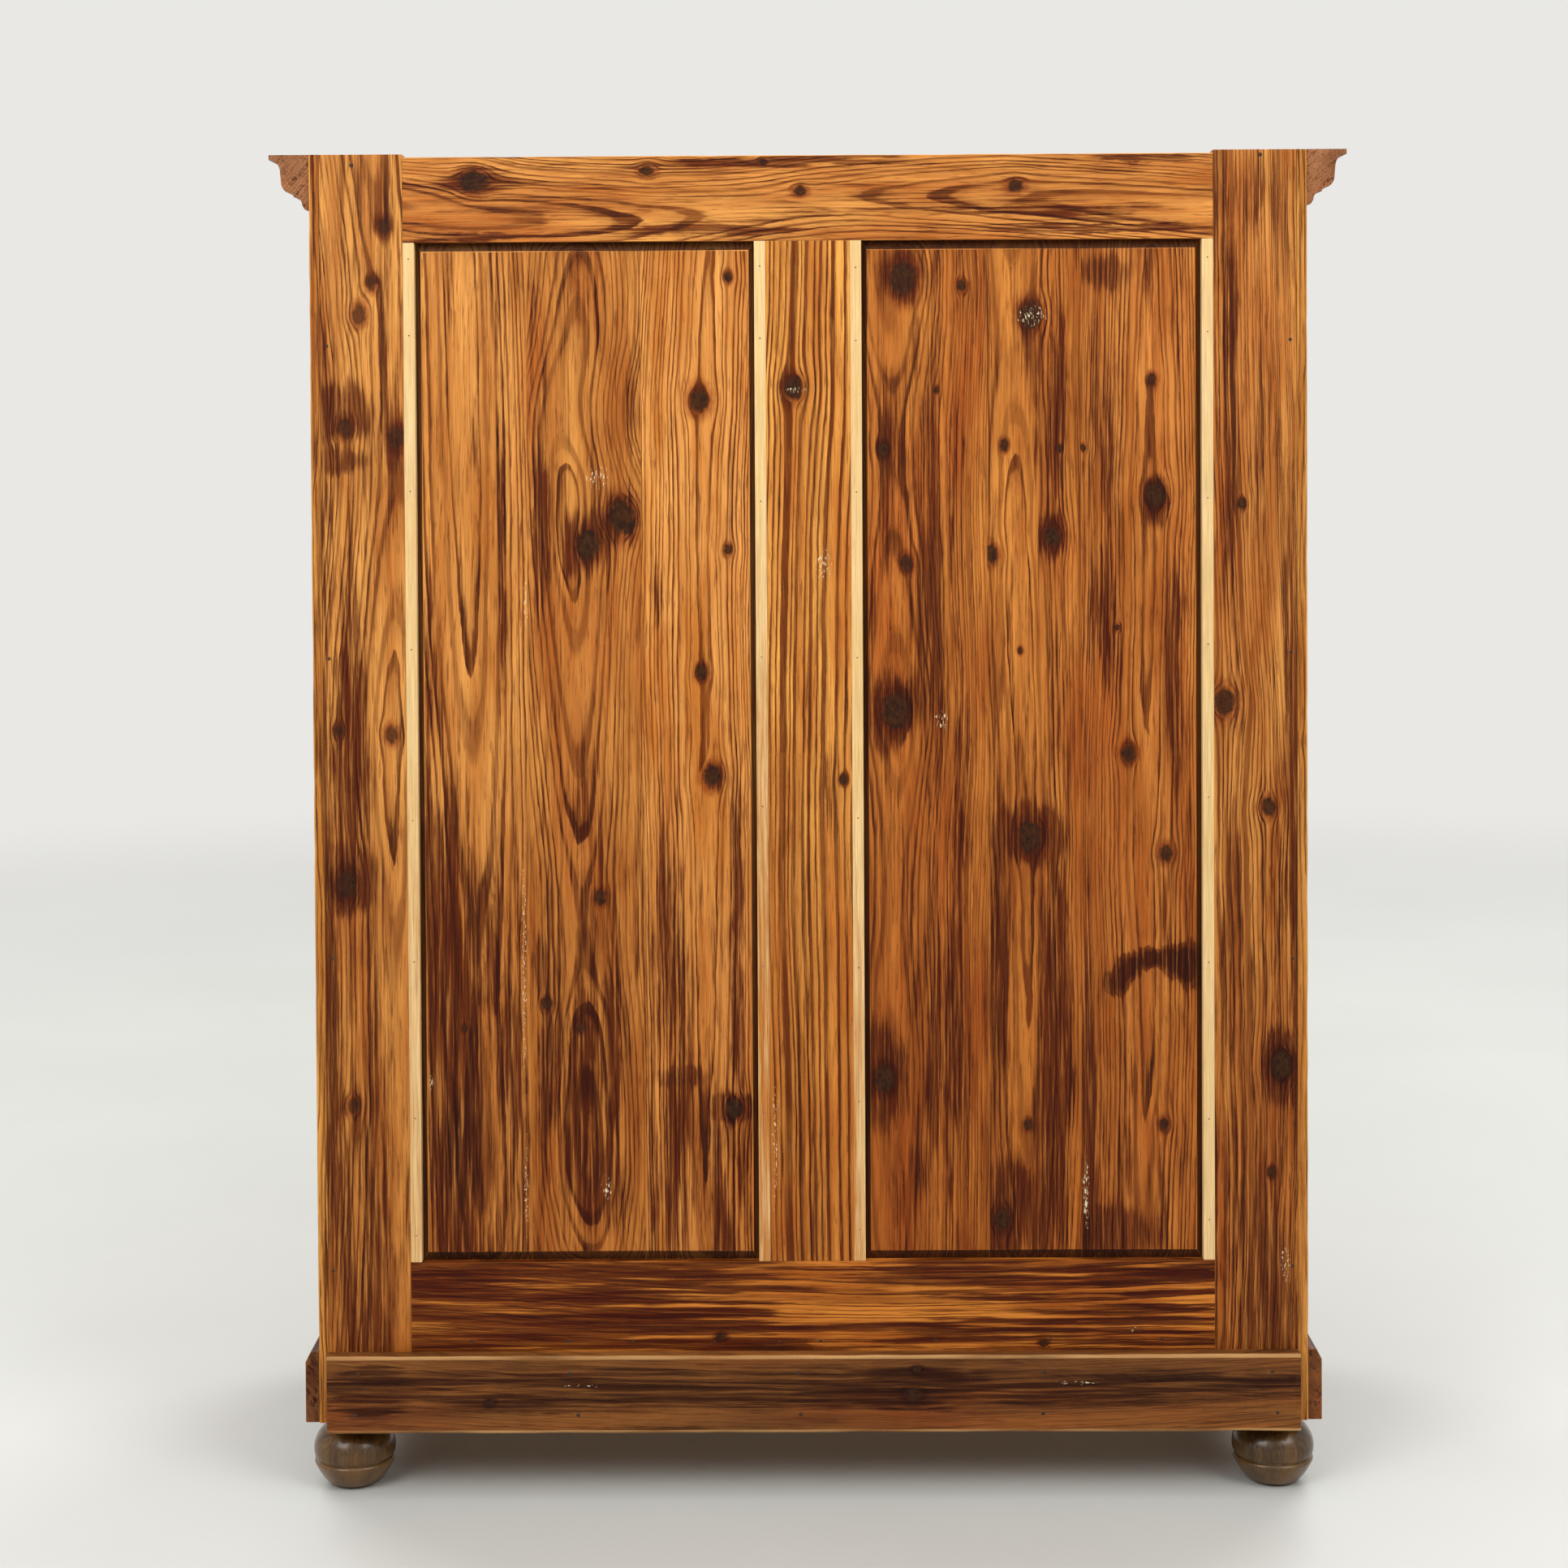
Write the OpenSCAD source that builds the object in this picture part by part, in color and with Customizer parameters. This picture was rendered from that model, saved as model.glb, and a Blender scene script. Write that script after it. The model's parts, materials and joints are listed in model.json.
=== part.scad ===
// Linen cupboard in old pine: a post and rail carcass with a panelled back and sides,
// a moulded cornice and plinth on three sides, four turned bun feet, three loose shelves
// and a pair of panelled doors. The front faces -Y and the panelled back faces +Y.
// Left and right are as seen from the front. Lengths are in millimetres.

/* [Carcass] */
// Width over the outer faces of the sides
carcass_w = 1290; // [1000:10:1600]
// Depth from the front of the posts to the rear edge of the sides
carcass_d = 520; // [420:10:700]
// Height from the floor to the top of the cornice
total_h = 1747; // [1500:1:2100]
// Height of the bun feet, which is the underside of the sides
foot_h = 95; // [80:1:140]
// Width of a corner post seen from the front
post_w = 58; // [50:1:80]
// Width of a corner post seen from the side
post_d = 78; // [60:1:110]
// Thickness of the side rails and of the back frame
frame_t = 26; // [22:1:32]
// Thickness of the lip left on a rear post behind the rebate for the back
rear_lip = 13; // [8:1:20]
// Width of the canted front corners of the posts
post_cant = 11; // [4:1:16]

/* [Back] */
// Width of the outer stiles of the back frame
back_stile_w = 108; // [80:1:130]
// Width of the middle muntin of the back frame
back_muntin_w = 109; // [80:1:140]
// Height of the top rails of the back and sides
top_rail_h = 114; // [90:1:150]
// Height of the bottom rails of the sides, from the underside of the sides
side_rail_h = 210; // [175:1:300]
// Height of the bottom rail of the back
back_bottom_rail_h = 150; // [130:1:170]
// Step down from the stile tops to the back top rail
top_rail_drop = 4; // [0:0.5:8]
// Width of the pale fillet strips beside the panels
fillet_w = 15; // [8:1:22]
// Thickness of the board nailed on as the rear plinth
rear_plinth_t = 20; // [14:1:26]
// Distance that the rear plinth board hangs below the sides
rear_plinth_drop = 8; // [0:1:14]

/* [Panels] */
// Depth of the grooves that hold the panels
groove_d = 9; // [7:0.5:12]
// Thickness of the panel edges that run in the grooves
tongue_t = 7; // [5:0.5:9]
// Depth from the frame face down to a panel's edge
tongue_depth = 13; // [10:0.5:14]
// Depth from the frame face down to the field of a back or side panel
field_depth = 8; // [5:0.5:9]
// Width of the bevel along the long edges of the back and side panels
side_bevel = 7.5; // [4:0.5:20]
// Width of the bevel across the ends of the back and side panels
end_bevel = 12; // [6:0.5:24]
// Depth from the frame face down to the raised field of a door panel
door_field_depth = 2; // [1:0.5:3]
// Height of the step around the raised field of a door panel
door_field_step = 3; // [2:0.5:4]
// Width of the bevel round a door panel
door_bevel = 42; // [25:1:55]
// Depth from the door face down to a door panel's edge
door_tongue_depth = 10; // [8:0.5:11]

/* [Cornice and plinth] */
// Projection of the cornice beyond the carcass
cornice_p = 51.5; // [44:0.5:70]
// Height of the cornice
cornice_h = 70.5; // [66:0.5:90]
// Height of the front and side plinth mouldings
plinth_h = 93; // [80:1:110]
// Thickness of the plinth mouldings
plinth_t = 18; // [12:1:24]
// Width of the chamfer on top of the plinth mouldings
plinth_chamfer_w = 7; // [3:0.5:10]
// Height of the chamfer on top of the plinth mouldings
plinth_chamfer_h = 14; // [6:0.5:20]
// Set-back of the moulding ends from the rear edge of the sides
moulding_end_gap = 2; // [0:0.5:6]

/* [Feet] */
// Largest radius of the ball of a foot
foot_r = 53.5; // [44:0.5:60]
// Distance from a foot's axis to the outer face of a side
foot_inset = 38; // [36:0.5:50]
// Distance from a foot's axis to the front and rear of the posts
foot_inset_y = 50; // [42:0.5:56]
// Radius of the turned spigot on top of a foot
spigot_r = 12; // [9:0.5:14]
// Length of the spigot inside the post
spigot_l = 34; // [20:1:50]

/* [Front rails and boards] */
// Depth of the front rails from front to back
front_rail_d = 45; // [40:1:60]
// Height of the frieze rail above the doors
frieze_h = 120; // [100:1:150]
// Height of the stop below the frieze rail, behind the doors
frieze_stop_h = 14; // [8:1:20]
// Height of the front bottom rail
front_bottom_rail_h = 80; // [60:1:90]
// Thickness of the floor, top and shelf boards
board_t = 20; // [16:1:24]
// Distance from the top of the cornice down to the top board
top_board_drop = 14; // [6:1:30]
// Number of shelves
shelf_count = 3; // [1:1:4]
// Distance from the closed doors to the front of the shelves
shelf_set_back = 30; // [26:1:60]
// Thickness of the battens that carry the shelves and the floor
batten_t = 20; // [14:1:26]
// Height of the battens
batten_h = 30; // [20:1:40]

/* [Doors] */
// Thickness of the door frames
door_t = 26; // [22:1:30]
// Gap round the doors and between them
door_gap = 2.5; // [2:0.1:4]
// Width of the door stiles
door_stile_w = 85; // [76:1:110]
// Height of the top and middle rails of a door
door_rail_h = 95; // [70:1:120]
// Height of the bottom rail of a door
door_bottom_rail_h = 120; // [90:1:150]
// Height of the opening of the lower door panels
lower_panel_h = 360; // [260:5:480]
// Size of the stopped chamfers round the door panels
door_chamfer = 4; // [2:0.5:6]
// Width of the bead on the meeting edge of the right door
bead_w = 22; // [16:1:30]
// Radius of the rounded bead
bead_r = 8; // [6:0.5:10]

/* [Hinges] */
// Radius of a hinge barrel
hinge_r = 6; // [5:0.5:7]
// Radius of a hinge pin
hinge_pin_r = 3; // [2:0.25:3.5]
// Distance from the door face out to the hinge axis
hinge_out = 7.5; // [7.2:0.1:9]
// Length of a whole hinge barrel
hinge_l = 104; // [80:2:140]
// Height from the end of the door to the middle of a hinge
hinge_inset = 170; // [140:5:260]
// Thickness of a hinge leaf
leaf_t = 2; // [1.5:0.25:2.5]

/* [Lock and bolts] */
// Height of the lock bolt above the floor
lock_z = 930; // [800:5:1000]
// Width of the lock case
lock_case_w = 74; // [64:1:78]
// Height of the lock case
lock_case_h = 84; // [76:1:100]
// Depth of the lock case
lock_case_d = 18; // [16:0.5:22]
// Thickness of the plates of the lock case
lock_wall = 1.5; // [1:0.25:2]
// Height of the lock bolt bar
lock_bolt_h = 16; // [10:1:20]
// Thickness of the lock bolt bar
lock_bolt_t = 8; // [6:0.5:9]
// Throw of the lock bolt
lock_throw = 12; // [8:0.5:16]
// Radius of the key's shank
key_r = 3; // [2.5:0.25:4]
// Reach of the key's bit from the axis of the shank
key_bit = 12; // [9:0.5:12.5]
// Radius of the ring of the key's bow
key_bow_r = 12; // [9:0.5:13]
// Radius of the round bolts on the left door
slide_r = 4; // [3:0.25:5]
// Length of a round bolt
slide_l = 115; // [100:5:160]
// Throw of the round bolts
slide_throw = 17; // [10:0.5:18]
// Length of the plates that guide the round bolts
guide_l = 110; // [100:2:120]

/* [Hidden] */
$fn = 64;

// Clearances: between panels and grooves, between loose boards, and where pieces turn
groove_play = 0.3;
board_play = 0.3;
run_play = 0.05;
slide_play = 0.25;
back_set_in = 1;

// The carcass in plan and height
half_w = carcass_w / 2;
y_front = (cornice_p - rear_plinth_t - carcass_d) / 2;
y_rear = y_front + carcass_d;
y_back_face = y_rear - back_set_in;
y_back_inner = y_back_face - frame_t;
x_post = half_w - post_w;
x_side_inner = half_w - frame_t;
x_back_edge = half_w - rear_lip - board_play;
x_back_opening = half_w - rear_lip - back_stile_w;
y_side_front = y_front + post_d;
y_side_rear = y_rear - post_d;
top_rail_z = total_h - top_rail_h;
bottom_rail_top = foot_h + side_rail_h;
plinth_top = foot_h + plinth_h;
cant_margin = 45;
side_opening_w = y_side_rear - y_side_front;
side_opening_mid = (y_side_rear + y_side_front) / 2;
opening_h = top_rail_z - bottom_rail_top;
opening_mid_z = (top_rail_z + bottom_rail_top) / 2;

// The back panels and their strips
back_opening_w = x_back_opening - back_muntin_w / 2;
back_opening_mid = (x_back_opening + back_muntin_w / 2) / 2;
tongue_in = groove_d - 1;
groove_front = tongue_depth - groove_play;
groove_w = tongue_t + 2 * groove_play;

// The boards inside
floor_z = plinth_top + 2;
y_door_inner = y_front + door_t;
y_floor_front = y_door_inner + 0.5;
y_rail_inner = y_front + front_rail_d;
frieze_z = total_h - frieze_h;
top_board_z = total_h - top_board_drop - board_t;
y_shelf_front = y_door_inner + shelf_set_back;
shelf_room = top_board_z - floor_z - board_t - shelf_count * board_t;
shelf_step = shelf_room / (shelf_count + 1) + board_t;

// The doors
door_z0 = floor_z + door_gap;
door_z1 = frieze_z - door_gap;
door_h = door_z1 - door_z0;
door_w = x_post - 1.5 * door_gap;
x_door_outer = x_post - door_gap;
x_door_meet = door_gap / 2;
lower_z0 = door_z0 + door_bottom_rail_h;
lower_z1 = lower_z0 + lower_panel_h;
upper_z0 = lower_z1 + door_rail_h;
upper_z1 = door_z1 - door_rail_h;
door_opening_w = door_w - 2 * door_stile_w;
door_opening_mid = x_door_meet + door_w / 2;
door_groove_front = door_tongue_depth - groove_play;

// The hinges
x_hinge = x_post - door_gap / 2;
y_hinge = y_front - hinge_out;
hinge_zs = [door_z0 + hinge_inset, door_z1 - hinge_inset];
knuckle_gap = 0.3;
knuckle_l = hinge_l / 2 - knuckle_gap / 2;
leaf_reach = door_t * 0.8;
finial_r = 5;
pin_end = 8;
pin_play = 0.1;

// The lock, the key and the round bolts
lock_x0 = x_door_meet + 3;
y_lock_face = y_door_inner;
lock_bolt_y = y_lock_face + lock_wall + slide_play;
key_z = lock_z - lock_bolt_h / 2 - key_bit - 1.5;
key_x = lock_x0 + lock_case_w / 2;
keyhole_r = key_r + 1.5;
key_slot_w = 4.4;
escutcheon_t = 1.2;
slide_x = x_door_meet + door_stile_w / 2;
slide_out = 10;
slide_y = y_door_inner + slide_out;
guide_plate_t = 1.5;
guide_plate_w = 32;
guide_block_h = 14;
guide_wall = 3;
y_guide_back = slide_y + slide_r + guide_wall;
top_slide_z1 = frieze_z - frieze_stop_h - 1.5;
bottom_slide_z0 = floor_z + board_t + 2;

// Points of a quarter ellipse round a centre, from one angle to another
function arc_points(cx, cy, rx, ry, a0, a1, steps) =
    [for (i = [0:steps]) let (a = a0 + (a1 - a0) * i / steps)
        [cx + rx * cos(a), cy + ry * sin(a)]];

// Section of a bevelled panel: u runs across the panel, d is the depth from the frame face
function panel_section(length, flat, bevel, edge_d, field_d, step, thick) =
    let (half = length / 2, a = half - flat, b = a - bevel, back_d = edge_d + thick)
    concat(
        [[-half, back_d], [-half, edge_d], [-a, edge_d], [-b, field_d + step]],
        step > 0 ? [[-b, field_d], [b, field_d]] : [],
        [[b, field_d + step], [a, edge_d], [half, edge_d], [half, back_d]]);

// A panel upright in the XZ plane with the frame face at y = 0 and the field towards -Y
module bevelled_panel(w, h, flat_x, bevel_x, flat_z, bevel_z, edge_d, field_d, step) {
    intersection() {
        linear_extrude(height = h, center = true)
            polygon(panel_section(w, flat_x, bevel_x, edge_d, field_d, step, tongue_t));
        rotate([0, -90, 0])
            linear_extrude(height = w, center = true)
                polygon(panel_section(h, flat_z, bevel_z, edge_d, field_d, step, tongue_t));
    }
}

// A box between two corners
module board(x0, x1, y0, y1, z0, z1) {
    translate([x0, y0, z0]) cube([x1 - x0, y1 - y0, z1 - z0]);
}

// The same shape on the left, where side is -1, or on the right, where side is 1
module on_side(side) {
    if (side < 0) mirror([1, 0, 0]) children();
    else children();
}

// Back frame

module back_stile(side) {
    color("#a8642f") on_side(side) difference() {
        board(x_back_opening, x_back_edge, y_back_inner, y_back_face, foot_h, total_h);
        board(x_back_opening - 1, x_back_opening + groove_d,
            y_back_face - groove_front - groove_w, y_back_face - groove_front,
            bottom_rail_top - groove_d, top_rail_z + groove_d);
    }
}
module back_stile_left() { back_stile(-1); }
module back_stile_right() { back_stile(1); }

module back_top_rail() {
    color("#a8642f") difference() {
        board(-x_back_opening + board_play, x_back_opening - board_play,
            y_back_inner, y_back_face, top_rail_z, total_h - top_rail_drop);
        board(-x_back_opening - 1, x_back_opening + 1,
            y_back_face - groove_front - groove_w, y_back_face - groove_front,
            top_rail_z - 1, top_rail_z + groove_d);
    }
}

module back_bottom_rail() {
    color("#8a4f26") difference() {
        board(-x_back_opening + board_play, x_back_opening - board_play,
            y_back_inner, y_back_face,
            bottom_rail_top - back_bottom_rail_h, bottom_rail_top);
        board(-x_back_opening - 1, x_back_opening + 1,
            y_back_face - groove_front - groove_w, y_back_face - groove_front,
            bottom_rail_top - groove_d, bottom_rail_top + 1);
    }
}

module back_muntin() {
    color("#c98a50") difference() {
        board(-back_muntin_w / 2, back_muntin_w / 2, y_back_inner, y_back_face,
            bottom_rail_top + board_play, top_rail_z - board_play);
        for (side = [-1, 1]) on_side(side)
            board(back_muntin_w / 2 - groove_d, back_muntin_w / 2 + 1,
                y_back_face - groove_front - groove_w, y_back_face - groove_front,
                bottom_rail_top - 1, top_rail_z + 1);
    }
}

module back_panel(side) {
    color("#b87536") translate([side * back_opening_mid, y_back_face, opening_mid_z])
        rotate([0, 0, 180])
            bevelled_panel(back_opening_w + 2 * tongue_in, opening_h + 2 * tongue_in,
                tongue_in + fillet_w, side_bevel, tongue_in, end_bevel,
                tongue_depth, field_depth, 0);
}
module back_panel_left() { back_panel(-1); }
module back_panel_right() { back_panel(1); }

module back_fillet_strips() {
    color("#f0cd92")
        for (side = [-1, 1], x = [x_back_opening - fillet_w, back_muntin_w / 2])
            on_side(side)
                board(x + board_play / 2, x + fillet_w - board_play / 2,
                    y_back_face - tongue_depth + board_play, y_back_face,
                    bottom_rail_top + board_play, top_rail_z - board_play);
}

module back_plinth_board() {
    color("#5f3a22")
        board(-x_back_edge, x_back_edge, y_back_face, y_rear + rear_plinth_t,
            foot_h - rear_plinth_drop, plinth_top);
}

// Sides

module foot_spigot_hole(y) {
    translate([half_w - foot_inset, y, foot_h - 1])
        cylinder(r = spigot_r + board_play, h = spigot_l + 2);
}

module side_panel_groove() {
    board(half_w - groove_front - groove_w, half_w - groove_front,
        y_side_front - groove_d, y_side_rear + groove_d,
        bottom_rail_top - groove_d, top_rail_z + groove_d);
}

module front_post(side) {
    cant_z0 = plinth_top + cant_margin;
    cant_z1 = total_h - cornice_h - cant_margin;
    color("#a8642f") on_side(side) difference() {
        board(x_post, half_w, y_front, y_side_front, foot_h, total_h);
        side_panel_groove();
        foot_spigot_hole(y_front + foot_inset_y);
        translate([half_w, y_front, (cant_z0 + cant_z1) / 2]) rotate([0, 0, 45])
            cube([post_cant * sqrt(2), post_cant * sqrt(2), cant_z1 - cant_z0], center = true);
        hinge_leaf_pocket(x_post - 1, x_post + leaf_t + run_play, 0);
    }
}
module left_front_post() { front_post(-1); }
module right_front_post() { front_post(1); }

module rear_post(side) {
    color("#a8642f") on_side(side) difference() {
        board(x_post, half_w, y_side_rear, y_rear, foot_h, total_h);
        board(x_post - 1, half_w - rear_lip, y_back_inner - board_play, y_rear + 1,
            foot_h - 1, total_h + 1);
        side_panel_groove();
        foot_spigot_hole(y_rear - foot_inset_y);
    }
}
module left_rear_post() { rear_post(-1); }
module right_rear_post() { rear_post(1); }

module side_top_rail(side) {
    color("#a8642f") on_side(side) difference() {
        board(x_side_inner, half_w, y_side_front + board_play, y_side_rear - board_play,
            top_rail_z, total_h);
        side_panel_groove();
    }
}
module left_side_top_rail() { side_top_rail(-1); }
module right_side_top_rail() { side_top_rail(1); }

module side_bottom_rail(side) {
    color("#8a4f26") on_side(side) difference() {
        board(x_side_inner, half_w, y_side_front + board_play, y_side_rear - board_play,
            foot_h, bottom_rail_top);
        side_panel_groove();
    }
}
module left_side_bottom_rail() { side_bottom_rail(-1); }
module right_side_bottom_rail() { side_bottom_rail(1); }

module side_panel(side) {
    color("#b87536") translate([side * half_w, side_opening_mid, opening_mid_z])
        rotate([0, 0, side * 90])
            bevelled_panel(side_opening_w + 2 * tongue_in, opening_h + 2 * tongue_in,
                tongue_in, side_bevel, tongue_in, end_bevel,
                tongue_depth, field_depth, 0);
}
module left_side_panel() { side_panel(-1); }
module right_side_panel() { side_panel(1); }

// Boards inside, notched round the posts

module notched_board(y0, y1, z0, z1) {
    union() {
        board(-x_post + board_play, x_post - board_play, y0, y1, z0, z1);
        board(-x_side_inner + board_play, x_side_inner - board_play,
            max(y0, y_side_front + board_play), min(y1, y_side_rear - board_play), z0, z1);
    }
}

module floor_board() {
    color("#b98753") difference() {
        notched_board(y_floor_front, y_back_inner - board_play, floor_z, floor_z + board_t);
        translate([-slide_x, slide_y, floor_z + 2])
            cylinder(r = slide_r + 0.5, h = board_t);
    }
}

module top_board() {
    color("#b98753")
        notched_board(y_rail_inner + board_play, y_back_inner - board_play,
            top_board_z, top_board_z + board_t);
}

module shelves() {
    color("#c39562") for (i = [1:shelf_count])
        notched_board(y_shelf_front, y_back_inner - board_play,
            floor_z + i * shelf_step, floor_z + i * shelf_step + board_t);
}

module shelf_battens() {
    color("#a97c4c") for (i = [0:shelf_count], side = [-1, 1]) on_side(side)
        board(x_post - batten_t, x_post,
            y_shelf_front + board_play, y_back_inner - board_play,
            floor_z + i * shelf_step - batten_h, floor_z + i * shelf_step);
}

// Rails between the front posts

module frieze_rail() {
    color("#a8642f") difference() {
        board(-x_post + board_play, x_post - board_play, y_front, y_rail_inner,
            frieze_z - frieze_stop_h, total_h);
        board(-x_post, x_post, y_front - 1, y_door_inner + 1,
            frieze_z - frieze_stop_h - 1, frieze_z);
        translate([-slide_x, slide_y, frieze_z - frieze_stop_h - 1])
            cylinder(r = slide_r + 0.5, h = slide_throw + 6);
    }
}

module front_bottom_rail() {
    color("#8a4f26")
        board(-x_post + board_play, x_post - board_play, y_front, y_rail_inner,
            floor_z - front_bottom_rail_h, floor_z);
}

// Cornice and plinth, mitred at the front corners

// Drops below the top edge, distances in from the tip, and radii of the cornice's forms
cornice_fillet_drop = 6.3;
cornice_fillet_in = 1.5;
cove_drop = 23.1;
cove_rx = 13.2;
cove_ry = 16.8;
ovolo_in = 15.8;
ovolo_drop = 35.3;
ovolo_rx = 14;
ovolo_ry = 14.5;
ovolo_foot_in = 31.6;
ovolo_foot_drop = 49.8;
low_step_drop = 54;
low_cove_in = 32;
low_cove_drop = 65;
low_cove_r = 11;
low_edge_in = 46.2;

cornice_section = concat(
    [[0, 0], [cornice_p, 0], [cornice_p, -cornice_fillet_drop],
        [cornice_p - cornice_fillet_in, -cornice_fillet_drop]],
    arc_points(cornice_p - cornice_fillet_in, -cove_drop, cove_rx, cove_ry, 96, 180, 8),
    [[cornice_p - ovolo_in, -ovolo_drop]],
    arc_points(cornice_p - ovolo_in - ovolo_rx, -ovolo_drop, ovolo_rx, ovolo_ry, -8, -90, 8),
    [[cornice_p - ovolo_foot_in, -ovolo_foot_drop], [cornice_p - ovolo_foot_in, -low_step_drop]],
    arc_points(cornice_p - low_cove_in, -low_cove_drop, low_cove_r, low_cove_r, 96, 180, 6),
    [[cornice_p - low_edge_in, -cornice_h], [0, -cornice_h]]);

plinth_section = [
    [0, 0], [plinth_t, 0], [plinth_t, plinth_h - plinth_chamfer_h],
    [plinth_t - plinth_chamfer_w, plinth_h], [0, plinth_h]];

// A moulding along the front, its section reaching out from the carcass by reach
module front_moulding(section, reach, z) {
    far = half_w + reach + 1;
    intersection() {
        translate([0, y_front, z]) rotate([90, 0, 90])
            linear_extrude(height = 2 * far, center = true)
                mirror([1, 0, 0]) polygon(section);
        translate([0, 0, z - total_h]) linear_extrude(height = 2 * total_h)
            polygon([
                [-half_w, y_front], [half_w, y_front],
                [half_w + reach + 1, y_front - reach - 1],
                [-half_w - reach - 1, y_front - reach - 1]]);
    }
}

// A moulding along one side, from the front mitre to near the rear edge
module side_moulding(side, section, reach, z) {
    y_end = y_rear - moulding_end_gap;
    on_side(side) intersection() {
        translate([half_w, y_end, z]) rotate([90, 0, 0])
            linear_extrude(height = y_end - y_front + reach + 1) polygon(section);
        translate([0, 0, z - total_h]) linear_extrude(height = 2 * total_h)
            polygon([
                [half_w, y_front], [half_w, y_end + 1], [half_w + reach + 1, y_end + 1],
                [half_w + reach + 1, y_front - reach - 1]]);
    }
}

module cornice_front() { color("#935f35") front_moulding(cornice_section, cornice_p, total_h); }
module cornice_left() { color("#935f35") side_moulding(-1, cornice_section, cornice_p, total_h); }
module cornice_right() { color("#935f35") side_moulding(1, cornice_section, cornice_p, total_h); }
module plinth_front() { color("#5f3a22") front_moulding(plinth_section, plinth_t, foot_h); }
module plinth_left() { color("#5f3a22") side_moulding(-1, plinth_section, plinth_t, foot_h); }
module plinth_right() { color("#5f3a22") side_moulding(1, plinth_section, plinth_t, foot_h); }

// Bun feet: a ball over a grooved ring and a short cone, turned in one with its spigot

ball_z = 0.5 * foot_h;
ball_h = 0.44 * foot_h;
groove_z = 0.39 * foot_h;
ring_z = 0.32 * foot_h;
neck_r = foot_r * 0.55;
neck_h = 0.03 * foot_h;
ring_h = 0.02 * foot_h;
base_h = 0.025 * foot_h;
groove_lip = 0.025 * foot_h;

module bun_foot() {
    rotate_extrude() polygon(concat(
        [[0, 0], [foot_r * 0.55, 0], [foot_r * 0.57, base_h], [foot_r * 0.68, ring_z * 0.16],
            [foot_r * 0.775, ring_z * 0.36], [foot_r * 0.915, ring_z * 0.75],
            [foot_r * 0.98, ring_z],
            [foot_r * 0.985, ring_z + ring_h], [foot_r * 0.94, groove_z - groove_lip],
            [foot_r * 0.925, groove_z]],
        arc_points(0, ball_z, foot_r, ball_h, -12, 56, 14),
        [[neck_r, foot_h - neck_h], [neck_r, foot_h], [spigot_r, foot_h],
            [spigot_r, foot_h + spigot_l], [0, foot_h + spigot_l]]));
}

module feet(y) {
    color("#6b4a2c") for (side = [-1, 1])
        translate([side * (half_w - foot_inset), y, 0]) bun_foot();
}
module front_feet() { feet(y_front + foot_inset_y); }
module rear_feet() { feet(y_rear - foot_inset_y); }

// Doors, drawn on the right and mirrored for the left

// The stopped chamfers round both panel openings of a door
module door_opening_chamfers() {
    for (z = [[lower_z0, lower_z1], [upper_z0, upper_z1]]) hull() {
        board(x_door_meet + door_stile_w - door_chamfer - 0.5,
            x_door_outer - door_stile_w + door_chamfer + 0.5,
            y_front - 1, y_front - 0.5, z[0] - door_chamfer - 0.5, z[1] + door_chamfer + 0.5);
        board(x_door_meet + door_stile_w, x_door_outer - door_stile_w,
            y_front + door_chamfer - 0.5, y_front + door_chamfer, z[0], z[1]);
    }
}

module door_panel_grooves() {
    for (z = [[lower_z0, lower_z1], [upper_z0, upper_z1]])
        board(x_door_meet + door_stile_w - groove_d, x_door_outer - door_stile_w + groove_d,
            y_front + door_groove_front, y_front + door_groove_front + groove_w,
            z[0] - groove_d, z[1] + groove_d);
}

module door_stile(x0, x1) {
    difference() {
        board(x0, x1, y_front, y_door_inner, door_z0, door_z1);
        door_opening_chamfers();
        door_panel_grooves();
    }
}

module hinge_stile(side) {
    color("#a8642f") on_side(side) difference() {
        door_stile(x_door_outer - door_stile_w, x_door_outer);
        hinge_leaf_pocket(x_door_outer - leaf_t - run_play, x_door_outer + 1, 1);
    }
}

module door_rail(side, z0, z1) {
    color("#a8642f") on_side(side) difference() {
        board(x_door_meet + door_stile_w + board_play, x_door_outer - door_stile_w - board_play,
            y_front, y_door_inner, z0, z1);
        door_opening_chamfers();
        door_panel_grooves();
    }
}

module door_panel(side, z0, z1) {
    color("#b87536") translate([side * door_opening_mid, y_front, (z0 + z1) / 2])
        bevelled_panel(door_opening_w + 2 * tongue_in, z1 - z0 + 2 * tongue_in,
            tongue_in, door_bevel, tongue_in, door_bevel,
            door_tongue_depth, door_field_depth, door_field_step);
}

module left_door_hinge_stile() { hinge_stile(-1); }
module left_door_meeting_stile() {
    color("#a8642f") on_side(-1) door_stile(x_door_meet, x_door_meet + door_stile_w);
}
module left_door_top_rail() { door_rail(-1, upper_z1, door_z1); }
module left_door_middle_rail() { door_rail(-1, lower_z1, upper_z0); }
module left_door_bottom_rail() { door_rail(-1, door_z0, lower_z0); }
module left_door_upper_panel() { door_panel(-1, upper_z0, upper_z1); }
module left_door_lower_panel() { door_panel(-1, lower_z0, lower_z1); }
module right_door_hinge_stile() { hinge_stile(1); }
module right_door_meeting_stile() {
    color("#a8642f") difference() {
        door_stile(x_door_meet, x_door_meet + door_stile_w);
        keyhole(y_front - 1, y_door_inner + 1);
    }
}
module right_door_top_rail() { door_rail(1, upper_z1, door_z1); }
module right_door_middle_rail() { door_rail(1, lower_z1, upper_z0); }
module right_door_bottom_rail() { door_rail(1, door_z0, lower_z0); }
module right_door_upper_panel() { door_panel(1, upper_z0, upper_z1); }
module right_door_lower_panel() { door_panel(1, lower_z0, lower_z1); }

// Hinges: the lower knuckle and its leaf stay on the post, the upper ones go with the door

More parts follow.
